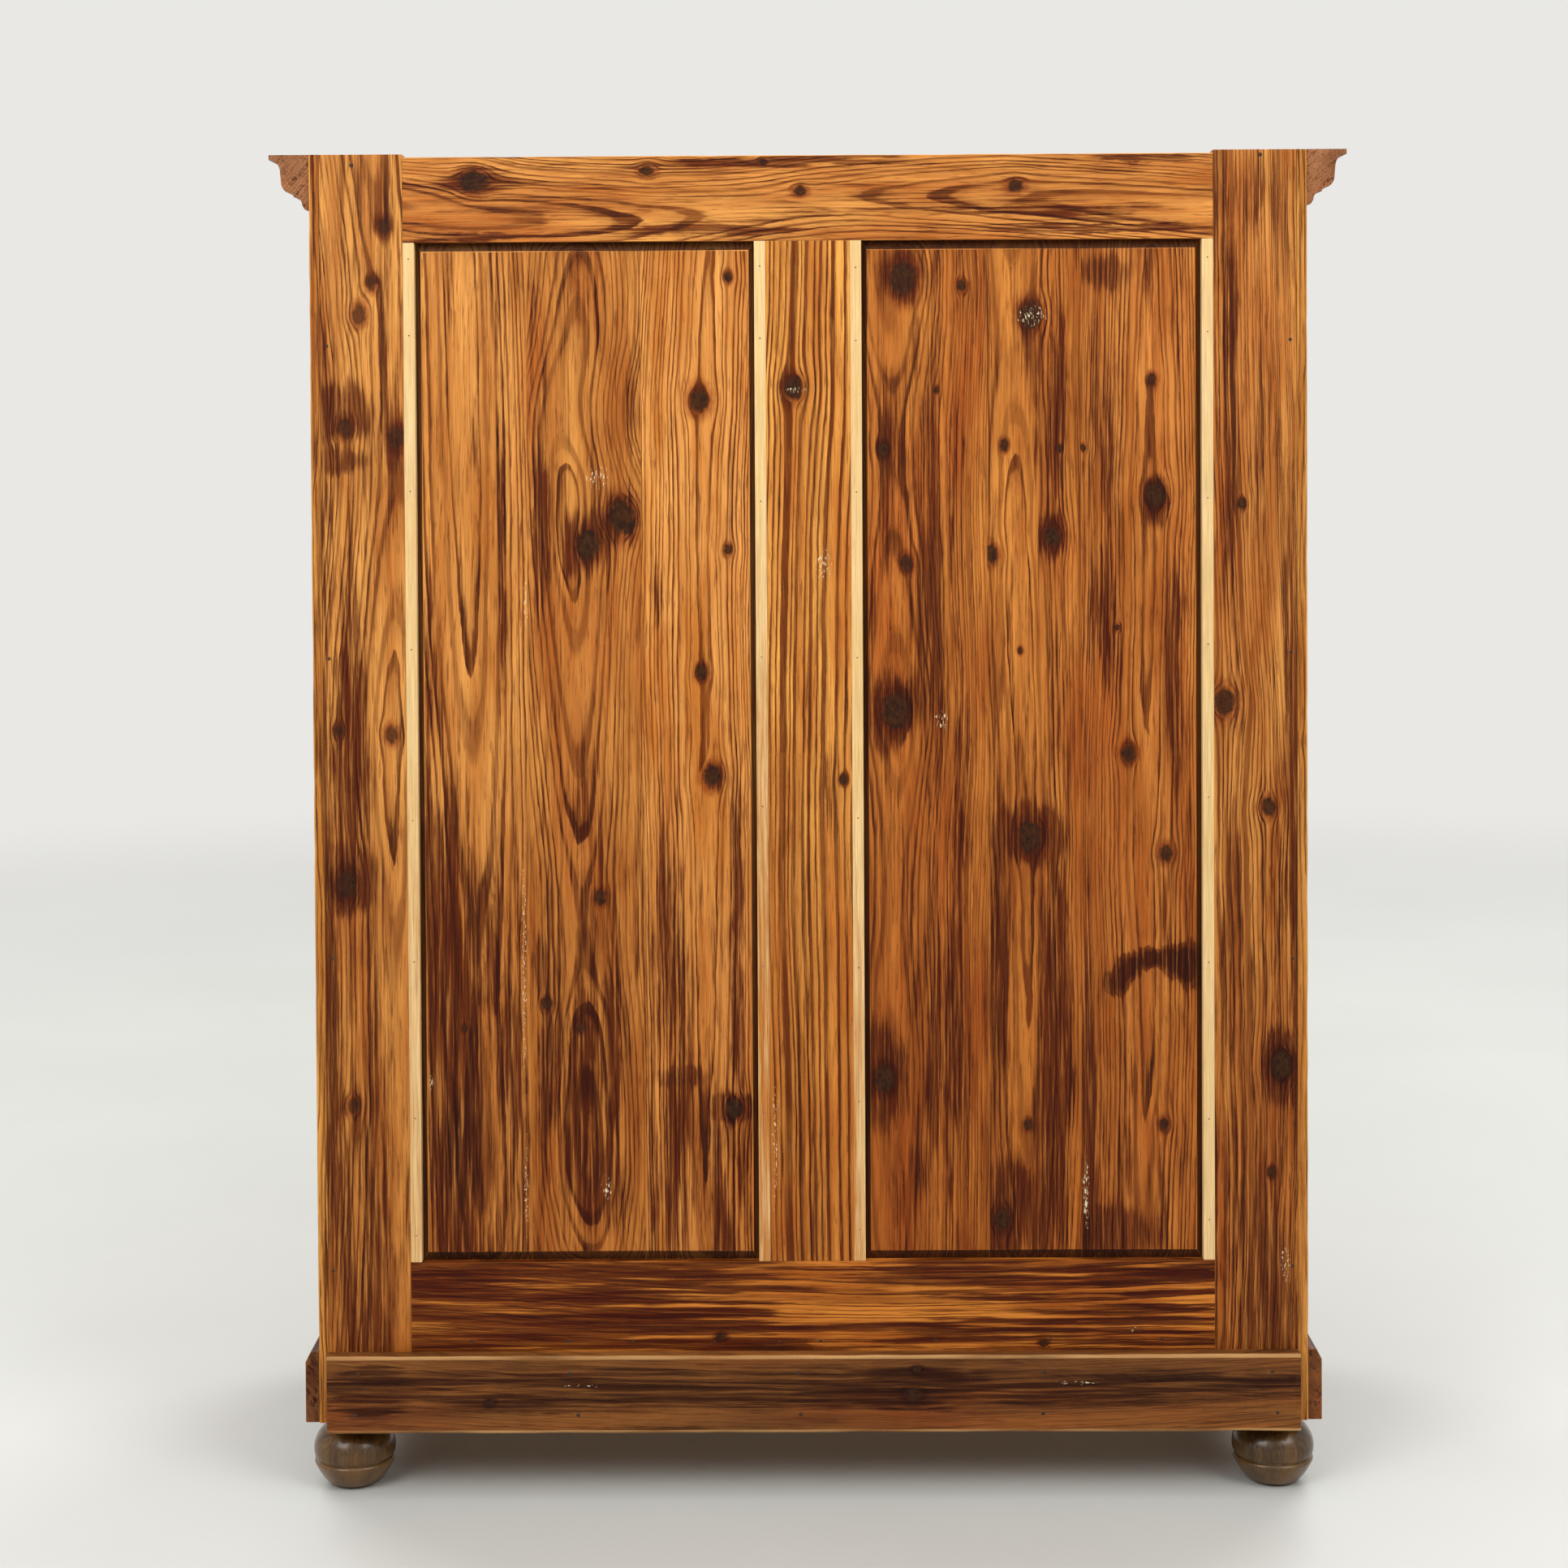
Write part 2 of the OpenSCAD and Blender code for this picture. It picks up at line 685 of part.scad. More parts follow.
// The recess for the hinge leaves, half 0 for the lower leaves and 1 for the upper ones
module hinge_leaf_pocket(x0, x1, half) {
    for (z = hinge_zs)
        board(x0, x1, y_front - 1, y_hinge + hinge_out + leaf_reach + run_play,
            z - (1 - half) * hinge_l / 2 - run_play * (1 - half),
            z + half * hinge_l / 2 + run_play * half);
}

module hinge_half(x0, x1, half) {
    for (z = hinge_zs) {
        z0 = half == 0 ? z - hinge_l / 2 : z + knuckle_gap / 2;
        cap_z = half == 0 ? z - hinge_l / 2 : z + hinge_l / 2;
        difference() {
            union() {
                translate([x_hinge, y_hinge, z0]) cylinder(r = hinge_r, h = knuckle_l);
                board(x0, x1, y_hinge, y_front + leaf_reach, z0, z0 + knuckle_l);
                translate([x_hinge, y_hinge, cap_z]) sphere(r = finial_r);
            }
            translate([x_hinge, y_hinge, z - hinge_l / 2 + pin_end])
                cylinder(r = hinge_pin_r + (half == 0 ? run_play / 2 : run_play),
                    h = hinge_l - 2 * pin_end);
        }
    }
}

module hinge_frame_leaves() {
    color("#55483c") for (side = [-1, 1])
        on_side(side) hinge_half(x_post, x_post + leaf_t, 0);
}
module left_door_hinge_leaves() {
    color("#55483c") on_side(-1) hinge_half(x_door_outer - leaf_t, x_door_outer, 1);
}
module right_door_hinge_leaves() {
    color("#55483c") hinge_half(x_door_outer - leaf_t, x_door_outer, 1);
}
module hinge_pins() {
    color("#6d6156") for (side = [-1, 1], z = hinge_zs)
        translate([side * x_hinge, y_hinge, z - hinge_l / 2 + pin_end + pin_play])
            cylinder(r = hinge_pin_r, h = hinge_l - 2 * pin_end - 2 * pin_play);
}

bead_base = 3;
bead_sunk = 2;

module meeting_bead() {
    color("#93582b") intersection() {
        union() {
            board(x_door_meet, x_door_meet + bead_w, y_front - bead_base, y_front, door_z0, door_z1);
            translate([x_door_meet + bead_w / 2, y_front - bead_sunk, door_z0])
                cylinder(r = bead_r, h = door_h);
        }
        board(x_door_meet, x_door_meet + bead_w, y_front - 2 * bead_r - bead_sunk, y_front,
            door_z0, door_z1);
    }
}

// Lock

// A round hole with a slot below it for the bit
module keyhole(y0, y1) {
    translate([key_x, y0, key_z]) rotate([-90, 0, 0]) cylinder(r = keyhole_r, h = y1 - y0);
    board(key_x - key_slot_w / 2, key_x + key_slot_w / 2, y0, y1, key_z - key_bit - 1, key_z);
}

// The brass plate is three discs in a column: the middle one, and a lobe above and below
plate_r = 14;
lobe_r = 9;
upper_lobe = 15;
lower_lobe = 18;

module escutcheon() {
    color("#b08a3e") difference() {
        translate([key_x, y_front, key_z]) rotate([90, 0, 0]) union() {
            translate([0, upper_lobe, 0]) cylinder(r = lobe_r, h = escutcheon_t);
            cylinder(r = plate_r, h = escutcheon_t);
            translate([0, -lower_lobe, 0]) cylinder(r = lobe_r, h = escutcheon_t);
        }
        translate([key_x, y_front - 5, key_z]) rotate([-90, 0, 0])
            cylinder(r = key_r + run_play, h = 10);
        board(key_x - key_slot_w / 2, key_x + key_slot_w / 2, y_front - 5, y_front + 5,
            key_z - key_bit - 1, key_z);
    }
}

bolt_head_room = 6;
bolt_tail_play = 0.2;

module lock_case() {
    z0 = lock_z + lock_bolt_h / 2 + bolt_head_room - lock_case_h;
    z1 = z0 + lock_case_h;
    y1 = y_lock_face + lock_case_d;
    color("#4b443e") difference() {
        board(lock_x0, lock_x0 + lock_case_w, y_lock_face, y1, z0, z1);
        board(lock_x0 + lock_wall, lock_x0 + lock_case_w - lock_wall,
            y_lock_face + lock_wall, y1 - lock_wall, z0 + lock_wall, z1 - lock_wall);
        board(lock_x0 - 1, lock_x0 + lock_wall + 1,
            y_lock_face + lock_wall, lock_bolt_y + lock_bolt_t + slide_play,
            lock_z - lock_bolt_h / 2 - slide_play, lock_z + lock_bolt_h / 2 + slide_play);
        keyhole(y_lock_face - 1, y_lock_face + lock_wall + 1);
    }
}

module lock_bolt() {
    color("#8d8478")
        board(lock_x0 + bolt_tail_play, lock_x0 + lock_case_w - lock_throw, lock_bolt_y,
            lock_bolt_y + lock_bolt_t, lock_z - lock_bolt_h / 2, lock_z + lock_bolt_h / 2);
}

// The key's lengths along its shank, and its collar, bit and bow
key_out = 24;
key_in = 11;
bit_back = 9;
bit_l = 8;
bit_t = 3;
collar_out = 6;
collar_l = 3.5;
collar_r = key_r + 1.8;
bow_t = 5;
bow_w = 4;
bow_lap = 2;

module key() {
    bow_y = y_front - key_out;
    tip_y = y_lock_face + lock_wall + key_in;
    color("#6a5f54") difference() {
        union() {
            translate([key_x, bow_y, key_z]) rotate([-90, 0, 0])
                cylinder(r = key_r, h = tip_y - bow_y);
            translate([key_x, y_front - collar_out, key_z]) rotate([-90, 0, 0])
                cylinder(r = collar_r, h = collar_l);
            translate([key_x - bit_t / 2, tip_y - bit_back, key_z - key_bit])
                cube([bit_t, bit_l, key_bit]);
            translate([key_x, bow_y + bow_lap - key_bow_r, key_z]) rotate([0, 90, 0])
                cylinder(r = key_bow_r, h = bow_t, center = true);
        }
        translate([key_x, bow_y + bow_lap - key_bow_r, key_z]) rotate([0, 90, 0])
            cylinder(r = key_bow_r - bow_w, h = bow_t + 3, center = true);
    }
}

// Round bolts on the inner face of the left door

module guide_plate(z0) {
    difference() {
        union() {
            board(-slide_x - guide_plate_w / 2, -slide_x + guide_plate_w / 2,
                y_door_inner, y_door_inner + guide_plate_t, z0, z0 + guide_l);
            for (z = [z0, z0 + guide_l - guide_block_h])
                board(-slide_x - slide_r - guide_wall, -slide_x + slide_r + guide_wall,
                    y_door_inner + guide_plate_t, y_guide_back, z, z + guide_block_h);
        }
        translate([-slide_x, slide_y, z0 - 1])
            cylinder(r = slide_r + run_play, h = guide_l + 2);
    }
}

module bolt_plates() {
    color("#4b443e") {
        guide_plate(top_slide_z1 - guide_l - 1);
        guide_plate(bottom_slide_z0 + 1);
    }
}

knob_stem_r = 2.5;
knob_out = 14;
knob_r = 4.5;
knob_off = 14;

module slide_bolt(z0, knob_z) {
    color("#6a5f54") union() {
        translate([-slide_x, slide_y, z0]) cylinder(r = slide_r, h = slide_l);
        translate([-slide_x, slide_y, knob_z]) rotate([-90, 0, 0])
            cylinder(r = knob_stem_r, h = knob_out);
        translate([-slide_x, slide_y + knob_out, knob_z]) sphere(r = knob_r);
    }
}
module top_bolt() {
    slide_bolt(top_slide_z1 - slide_l, top_slide_z1 - guide_l / 2 - knob_off);
}
module bottom_bolt() {
    slide_bolt(bottom_slide_z0, bottom_slide_z0 + guide_l / 2 + knob_off);
}

back_stile_left();
back_stile_right();
back_top_rail();
back_bottom_rail();
back_muntin();
back_panel_left();
back_panel_right();
back_fillet_strips();
back_plinth_board();
left_front_post();
left_rear_post();
left_side_top_rail();
left_side_bottom_rail();
left_side_panel();
right_front_post();
right_rear_post();
right_side_top_rail();
right_side_bottom_rail();
right_side_panel();
floor_board();
top_board();
shelves();
shelf_battens();
frieze_rail();
front_bottom_rail();
cornice_front();
cornice_left();
cornice_right();
plinth_front();
plinth_left();
plinth_right();
front_feet();
rear_feet();
left_door_hinge_stile();
left_door_meeting_stile();
left_door_top_rail();
left_door_middle_rail();
left_door_bottom_rail();
left_door_upper_panel();
left_door_lower_panel();
right_door_hinge_stile();
right_door_meeting_stile();
right_door_top_rail();
right_door_middle_rail();
right_door_bottom_rail();
right_door_upper_panel();
right_door_lower_panel();
hinge_frame_leaves();
hinge_pins();
left_door_hinge_leaves();
right_door_hinge_leaves();
meeting_bead();
escutcheon();
lock_case();
lock_bolt();
key();
bolt_plates();
top_bolt();
bottom_bolt();
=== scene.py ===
import functools
import itertools
import json
import math
import random
import bmesh
import bpy
from mathutils import Matrix, Vector, noise


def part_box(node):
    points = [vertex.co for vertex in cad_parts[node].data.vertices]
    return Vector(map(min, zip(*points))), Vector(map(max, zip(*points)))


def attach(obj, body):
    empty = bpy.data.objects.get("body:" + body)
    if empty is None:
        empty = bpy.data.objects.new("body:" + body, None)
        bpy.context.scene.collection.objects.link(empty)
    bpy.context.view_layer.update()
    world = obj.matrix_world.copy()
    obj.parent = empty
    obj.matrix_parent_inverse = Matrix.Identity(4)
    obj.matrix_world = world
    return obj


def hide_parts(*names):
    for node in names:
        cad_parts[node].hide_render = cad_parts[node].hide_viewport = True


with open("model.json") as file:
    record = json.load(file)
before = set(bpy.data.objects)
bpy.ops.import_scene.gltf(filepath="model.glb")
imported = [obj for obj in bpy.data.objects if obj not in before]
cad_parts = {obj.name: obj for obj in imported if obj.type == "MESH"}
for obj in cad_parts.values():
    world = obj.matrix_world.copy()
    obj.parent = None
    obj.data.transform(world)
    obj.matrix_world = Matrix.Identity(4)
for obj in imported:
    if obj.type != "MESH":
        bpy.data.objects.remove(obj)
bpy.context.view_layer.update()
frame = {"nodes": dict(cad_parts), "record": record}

# Back frame: two stiles, top and bottom rail and a muntin of old pine, 26 mm thick, joined
# flush. The wood is oiled over an old brown stain, and brushed until the hard late rings
# stand out dark between the golden early wood.

math_node, vector, noise_3d = "ShaderNodeMath", "ShaderNodeVectorMath", "ShaderNodeTexNoise"
ranged, mixed = "ShaderNodeMapRange", "ShaderNodeMix"


def paint(code):
    # An sRGB hex value as a linear colour
    parts = [int(code[i:i + 2], 16) / 255 for i in (1, 3, 5)]
    line = [p / 12.92 if p <= 0.04045 else ((p + 0.055) / 1.055) ** 2.4 for p in parts]
    return (line[0], line[1], line[2], 1.0)


def put(tree, kind, inputs=None, out=0, **settings):
    # Adds one node with its settings and links, and gives its output, or the node for None
    made = tree.nodes.new(kind)
    for key, value in settings.items():
        setattr(made, key, value)
    for key, value in (inputs or {}).items():
        if isinstance(value, bpy.types.NodeSocket):
            tree.links.new(value, made.inputs[key])
        else:
            made.inputs[key].default_value = value
    return made if out is None else made.outputs[out]


def blank(made):
    # Empties a new material or world, and gives the function that adds nodes to it
    made.use_nodes = True
    made.node_tree.nodes.clear()
    return functools.partial(put, made.node_tree)


def new_group(name, kind, inputs, outputs):
    # A group with its named sockets, the function that adds nodes to it, and what comes in
    made = bpy.data.node_groups.new(name, kind)
    for way, sockets in (("INPUT", inputs), ("OUTPUT", outputs)):
        for label, socket in sockets.items():
            made.interface.new_socket(label, in_out=way, socket_type="NodeSocket" + socket)
    add = functools.partial(put, made)
    return made, add, add("NodeGroupInput", out=None).outputs


# Grain lines part round a knot as water does round a post, and its reach is kept
knot_in_pine, add, given = new_group(
    "knot in pine", "ShaderNodeTree",
    {"Point": "Vector", "Centre": "Vector", "Radius": "Float", "Offset": "Float",
     "Nearest": "Float"}, {"Offset": "Float", "Nearest": "Float"})
away = add(vector, {0: given["Point"], 1: given["Centre"]}, operation="SUBTRACT")
flat = add(vector, {0: away, 1: (1.0, 0.0, 0.74)}, operation="MULTIPLY")
reach = add(vector, {0: flat}, "Value", operation="LENGTH")
near = add(math_node, {0: reach, 1: given["Radius"]}, operation="DIVIDE")
far = add(math_node, {0: near, 1: 1.0}, operation="MAXIMUM")
fall = add(math_node, {0: far, 1: -2.0}, operation="POWER")
side = add(vector, {0: away, 1: (1.0, 0.0, 0.0)}, "Value", operation="DOT_PRODUCT")
shift = add(math_node, {0: side, 1: fall, 2: given["Offset"]}, operation="MULTIPLY_ADD")
least = add(math_node, {0: near, 1: given["Nearest"]}, operation="MINIMUM")
add("NodeGroupOutput", {"Offset": shift, "Nearest": least}, None)

# A soft oval patch, added to what other patches gave before
blot, add, given = new_group(
    "blot", "ShaderNodeTree",
    {"Point": "Vector", "Centre": "Vector", "Shrink": "Vector", "Strength": "Float",
     "Before": "Float"}, {"After": "Float"})
away = add(vector, {0: given["Point"], 1: given["Centre"]}, operation="SUBTRACT")
flat = add(vector, {0: away, 1: given["Shrink"]}, operation="MULTIPLY")
reach = add(vector, {0: flat}, "Value", operation="LENGTH")
patch = add(ranged, {"Value": reach, "From Min": 1.35, "From Max": 0.3,
                     "To Max": given["Strength"]}, interpolation_type="SMOOTHSTEP")
after = add(math_node, {0: given["Before"], 1: patch}, operation="ADD")
add("NodeGroupOutput", {"After": after}, None)


def part_round_knots(add, knots, shift, flow, flow_sway):
    # How far knots push the grain aside, and the distance to the nearest in its own radii.
    # A board with no list gets scattered ones, one in each cell, some of them too small.
    if knots is None:
        cell = (190.0, 0.0, 420.0)
        scaled = add(vector, {0: shift, 1: (1 / cell[0], 0.0, 1 / cell[2]),
                              2: (0.0, 0.5, 0.0)}, operation="MULTIPLY_ADD")
        cells = add("ShaderNodeTexVoronoi", {"Vector": scaled, "Scale": 1.0,
                                             "Randomness": 0.65}, None).outputs
        middle = add(vector, {0: cells["Position"], 1: cell}, operation="MULTIPLY")
        back = add(vector, {0: shift, 1: flow}, operation="SUBTRACT")
        middle = add(vector, {0: middle, 1: back}, operation="SUBTRACT")
        size = add("ShaderNodeSeparateColor", {0: cells["Color"]})
        size = add(ranged, {"Value": size, "From Min": 0.25, "To Min": 0.5, "To Max": 15.0})
        knots = [(middle, size)]
    else:
        knots = [((side + flow_sway[0] / 2, 0.0, place + flow_sway[2] / 2), size)
                 for side, place, size in knots]
    offset, nearest = 0.0, 9.0
    for middle, size in knots:
        knot = add("ShaderNodeGroup", {"Point": flow, "Centre": middle, "Radius": size,
                                       "Offset": offset, "Nearest": nearest}, None,
                   node_tree=knot_in_pine).outputs
        offset, nearest = knot["Offset"], knot["Nearest"]
    return offset, nearest


def heart_of_tree(add, heart, rise, along, own, shift):
    # The side and the depth at which the tree's heart runs under the board, in mm. Given
    # points become a curve, and a board with none gets a heart of its own.
    if not heart:
        own_parts = add("ShaderNodeSeparateColor", {0: own}, None).outputs
        side = add(ranged, {"Value": own_parts[0], "To Min": -150.0, "To Max": 150.0})
        scaled = add(vector, {0: shift, 1: (0.0, 0.0, 0.0016)}, operation="MULTIPLY")
        swell = add(noise_3d, {"Vector": scaled, "Scale": 1.0, "Detail": 1.0})
        depth = add(ranged, {"Value": own_parts[1], "To Min": 10.0, "To Max": 45.0})
        return side, add(math_node, {0: swell, 1: 60.0, 2: depth}, operation="MULTIPLY_ADD")
    places = [place for place, size in heart + rise]
    low, high = min(places), max(places)
    way = add(ranged, {"Value": along, "From Min": low, "From Max": high})
    tracks = []
    for points, base, span in ((heart, min(side for place, side in heart) - 1, 400.0),
                               (rise, 0.0, 100.0)):
        track = add("ShaderNodeFloatCurve", {"Value": way}, None)
        curve = track.mapping.curves[0]
        ends = [((place - low) / (high - low), (size - base) / span)
                for place, size in sorted(points)]
        curve.points[0].location = ends[0]
        curve.points[1].location = ends[-1]
        for end in ends[1:-1]:
            curve.points.new(*end)
        track.mapping.update()
        tracks.append(add(math_node, {0: track.outputs[0], 1: span, 2: base},
                          operation="MULTIPLY_ADD"))
    return tracks


def late_rings(add, from_heart, ring, fade, lines):
    # How dark the late wood of a year is, and a level that each year has for itself
    radius = add(vector, {0: from_heart}, "Value", operation="LENGTH")
    # Years are wide near the heart and narrow outside, and no two are the same
    narrowing = add(math_node, {0: radius, 1: 1 / (160 * ring), 2: 1 / ring},
                    operation="MULTIPLY_ADD")
    years = add(math_node, {0: radius, 1: narrowing}, operation="MULTIPLY")
    pace = add(math_node, {0: years, 1: 0.45}, operation="MULTIPLY")
    spread = add(noise_3d, {"W": pace, "Scale": 1.0, "Detail": 1.0}, noise_dimensions="1D")
    years = add(math_node, {0: spread, 1: 2.2, 2: years}, operation="MULTIPLY_ADD")
    year = add(math_node, {0: years}, operation="FRACT")
    which = add(math_node, {0: years}, operation="FLOOR")
    # Through one year the wood darkens slowly, and the next year starts light at once
    profile = add("ShaderNodeValToRGB", {0: year}, None)
    stops = profile.color_ramp.elements
    stops[0].position, stops[0].color = 0.0, (0.3, 0.3, 0.3, 1)
    stops[1].position, stops[1].color = 1.0, (0.6, 0.6, 0.6, 1)
    for place, level in ((0.04, 0.0), (0.45, 0.04), (0.64, 0.3), (0.73, 0.95), (0.95, 1.0)):
        stop = stops.new(place)
        stop.color = (level, level, level, 1)
    thick = add("ShaderNodeTexWhiteNoise", {"W": which}, noise_dimensions="1D")
    line = profile.outputs[0]
    for strong in (
            {"Value": thick, "To Min": 0.6, "To Max": 1.05},
            {"Value": fade, "From Min": 0.3, "From Max": 0.6, "To Min": 0.6 * lines,
             "To Max": 1.1 * lines}):
        line = add(math_node, {0: line, 1: add(ranged, strong)}, operation="MULTIPLY")
    return line, thick


def pine(name, light="#E8A653", deep="#BA722C", late="#743911", ring=9.0, heart=None,
         rise=None, knots=None, patches=(), flecks=(), stain=0.35, foot=None, red=0.25,
         lines=1.05, gloss=0.46, shade="#7A523D", soft=0.17, dark=0.92, thin_part=0.42,
         streak=0.32, dashes=0.6, bare=0.3, rubbed=None, years_part=0.13):
    # Oiled old pine. The eye gets thin dark late rings on golden wood, arches where a board
    # was cut near the heart, dark round knots, streaks of old stain and a soft sheen.
    # heart and rise give (place, side) and (place, depth) of the tree's heart along the
    # board in mm, knots (side, place, radius), patches and flecks (side, place, width,
    # height, strength). Without heart and knots every board gets its own.
    # stain and foot are how much stain there is at the top and at the foot of the cupboard.
    made = bpy.data.materials.new(name)
    add = blank(made)
    grain = add("ShaderNodeAttribute", None, "Vector", attribute_name="grain")
    board, inner_face, painted_shade_margin, arris = [
        add("ShaderNodeAttribute", None, "Fac", attribute_name=label)
        for label in ("board", "inner", "painted_shade_margin", "arris")]
    own = add("ShaderNodeTexWhiteNoise", {"W": board}, "Color", noise_dimensions="1D")
    shift = add(vector, {0: own, 1: (900.0, 900.0, 3700.0), 2: grain}, operation="MULTIPLY_ADD")
    # The stem's slow wander (140 mm across, half a metre along), the waves in it and the
    # quiver that the late rings show along some 40 mm
    here, bends = grain, []
    for scale, detail, sway in (((0.007, 0.007, 0.0019), 1.0, (24.0, 8.0, 0.0)),
                                ((0.045, 0.045, 0.009), 3.0, (4.4, 2.6, 0.0)),
                                ((0.14, 0.14, 0.027), 2.0, (2.0, 1.2, 0.0))):
        scaled = add(vector, {0: shift, 1: scale}, operation="MULTIPLY")
        bend = add(noise_3d, {"Vector": scaled, "Scale": 1.0, "Detail": detail,
                              "Roughness": 0.55}, "Color")
        half = tuple(-part / 2 for part in sway)
        bend_mm = add(vector, {0: bend, 1: sway, 2: half}, operation="MULTIPLY_ADD")
        here = add(vector, {0: here, 1: bend_mm}, operation="ADD")
        bends.append((bend, bend_mm))
    waves, waves_mm = bends[1]
    # Fibres are under a millimetre wide and some centimetres long. Tone and warmth change
    # slowly, and short dark dashes are pores and scratches full of stain
    waved = add(vector, {0: shift, 1: waves_mm}, operation="ADD")
    looks = []
    for start, scale, detail, rough in (
            (shift, (0.75, 0.75, 0.014), 3.0, 0.6), (shift, (0.03, 0.03, 0.0035), 3.0, 0.6),
            (shift, (0.013, 0.013, 0.0022), 2.0, 0.6), (waved, (0.06, 0.06, 0.0048), 4.0, 0.6),
            (waved, (streak, streak, streak / 38), 3.0, 0.6),
            (waved, (0.4, 0.4, 0.022), 3.0, 0.6), (shift, (0.2, 0.2, 0.14), 3.0, 0.6),
            (shift, (0.035, 0.035, 0.005), 2.0, 0.5), (shift, (0.09, 0.09, 0.025), 3.0, 0.6)):
        scaled = add(vector, {0: start, 1: scale}, operation="MULTIPLY")
        looks.append(add(noise_3d, {"Vector": scaled, "Scale": 1.0, "Detail": detail,
                                    "Roughness": rough}, None).outputs)
    fibre, tone, warm, broad, thin, dash, crumbs, fade = [look[0] for look in looks[:-1]]
    edges = looks[-1][1]

    flow_sway = (5.0, 0.0, 9.0)
    flow = add(vector, {0: waves, 1: flow_sway, 2: grain}, operation="MULTIPLY_ADD")
    offset, nearest = part_round_knots(add, knots, shift, flow, flow_sway)
    parts = add("ShaderNodeSeparateXYZ", {0: here}, None).outputs
    across = add(math_node, {0: parts[0], 1: offset}, operation="SUBTRACT")
    centre, deep_in = heart_of_tree(add, heart, rise, parts[2], own, shift)
    from_heart = add("ShaderNodeCombineXYZ", {
        0: add(math_node, {0: across, 1: centre}, operation="SUBTRACT"),
        1: add(math_node, {0: parts[1], 1: deep_in}, operation="ADD")})
    line, thick = late_rings(add, from_heart, ring, fade, lines)

    # The colour is laid on in layers. Each has what it follows, where that starts, where it
    # is full and how strong the layer is at both, its colour, and if it covers or darkens.
    # The inner faces were never stained and stay paler.
    dim = add(ranged, {"Value": fibre, "From Min": 0.3, "From Max": 0.7, "To Min": 0.7,
                       "To Max": 1.18})
    layers = [(tone, (0.38, 0.64, 0.0, 1.0), deep, "MIX"),
              (warm, (0.46, 0.7, 0.0, red), "#B0501A", "MIX"),
              (inner_face, (0.0, 1.0, 0.0, 0.5), "#DDB27A", "MIX"),
              (1.0, None, dim, "MULTIPLY"), (line, (0.0, 0.97, 0.0, 0.97), late, "MIX")]
    # Old stain lies in ragged streaks along the fibres, in patches and in some whole years,
    # and the rings show through it
    level = stain
    if foot is not None:
        down = add(ranged, {"Value": parts[2], "From Min": 1250.0, "From Max": 350.0},
                   interpolation_type="SMOOTHSTEP")
        level = add(math_node, {0: down, 1: foot - stain, 2: stain}, operation="MULTIPLY_ADD")
        layers.append((down, None, "#E4D6C5", "MULTIPLY"))
    rough_edge = add(vector, {0: edges, 1: (16.0, 0.0, 26.0), 2: grain},
                     operation="MULTIPLY_ADD")
    rough_edge = add(vector, {0: rough_edge, 1: (8.0, 0.0, 13.0)}, operation="SUBTRACT")
    levels = []
    for places, point, level, force in ((patches, rough_edge, level, 0.5),
                                        (flecks, grain, 0.72, 0.27)):
        for side, place, wide, tall, strength in places:
            level = add("ShaderNodeGroup", {
                "Point": point, "Centre": (side, 0.0, place), "Before": level,
                "Shrink": (1 / wide, 0.0, 1 / tall), "Strength": strength * force},
                node_tree=blot)
        levels.append(level)
    level, paler = levels
    level = add(math_node, {0: inner_face, 1: -3.0, 2: level}, operation="MULTIPLY_ADD")
    level = add(math_node, {0: level, 1: 0.42, 2: -years_part / 2}, operation="MULTIPLY_ADD")
    for value, part in ((broad, 1 - thin_part), (thin, thin_part), (line, 0.05),
                        (thick, years_part)):
        level = add(math_node, {0: value, 1: part, 2: level}, operation="MULTIPLY_ADD")
    cover = add(ranged, {"Value": level, "From Min": 0.73 - soft / 2,
                         "From Max": 0.73 + soft / 2}, interpolation_type="SMOOTHSTEP")
    uneven = add(ranged, {"Value": thin, "From Min": 0.32, "From Max": 0.58, "To Min": 0.5})
    cover = add(math_node, {0: cover, 1: uneven}, operation="MULTIPLY")
    # Knots: a ragged brown halo, a broken dark edge and a nearly black, crumbling heart
    ragged = add(math_node, {0: edges, 1: 0.6, 2: nearest}, operation="MULTIPLY_ADD")
    ragged = add(math_node, {0: crumbs, 1: 0.9, 2: ragged}, operation="MULTIPLY_ADD")
    ragged = add(math_node, {0: ragged, 1: 0.75}, operation="SUBTRACT")
    halo, inside = [
        add(ranged, {"Value": ragged, "From Min": start, "From Max": end, "To Min": most,
                     "To Max": 0.0}, interpolation_type="SMOOTHSTEP")
        for start, end, most in ((0.9, 1.9, 0.7), (0.66, 1.08, dark))]
    fac = add(ranged, {"Value": crumbs, "From Min": 0.36, "From Max": 0.62})
    knot_heart = add(mixed, {"Factor": fac, 6: paint("#1E0F08"), 7: paint("#3F230D")}, 2,
                     data_type="RGBA")
    layers += [(cover, None, shade, "MULTIPLY"),
               (level, (0.95, 1.2, 0.0, 0.8), "#8A6A58", "MULTIPLY"),
               (dash, (0.56, 0.66, 0.0, dashes), "#84543F", "MULTIPLY"),
               (thin, (0.42, 0.33, 0.0, bare), light, "MIX"),
               (halo, None, "#A5684A", "MULTIPLY"), (inside, None, knot_heart, "MIX")]
    if flecks:
        # Paint flecks and chipped wood are pale
        scaled = add(vector, {0: grain, 1: (0.55, 0.55, 0.16)}, operation="MULTIPLY")
        dots = add(noise_3d, {"Vector": scaled, "Scale": 1.0, "Detail": 2.0, "Roughness": 0.7})
        dots = add(math_node, {0: dots, 1: paler}, operation="MULTIPLY")
        most = add(math_node, {0: 0.9, 1: inner_face}, operation="SUBTRACT")
        layers.append((dots, (0.56, 0.62, 0.0, most), "#F0DDB8", "MIX"))
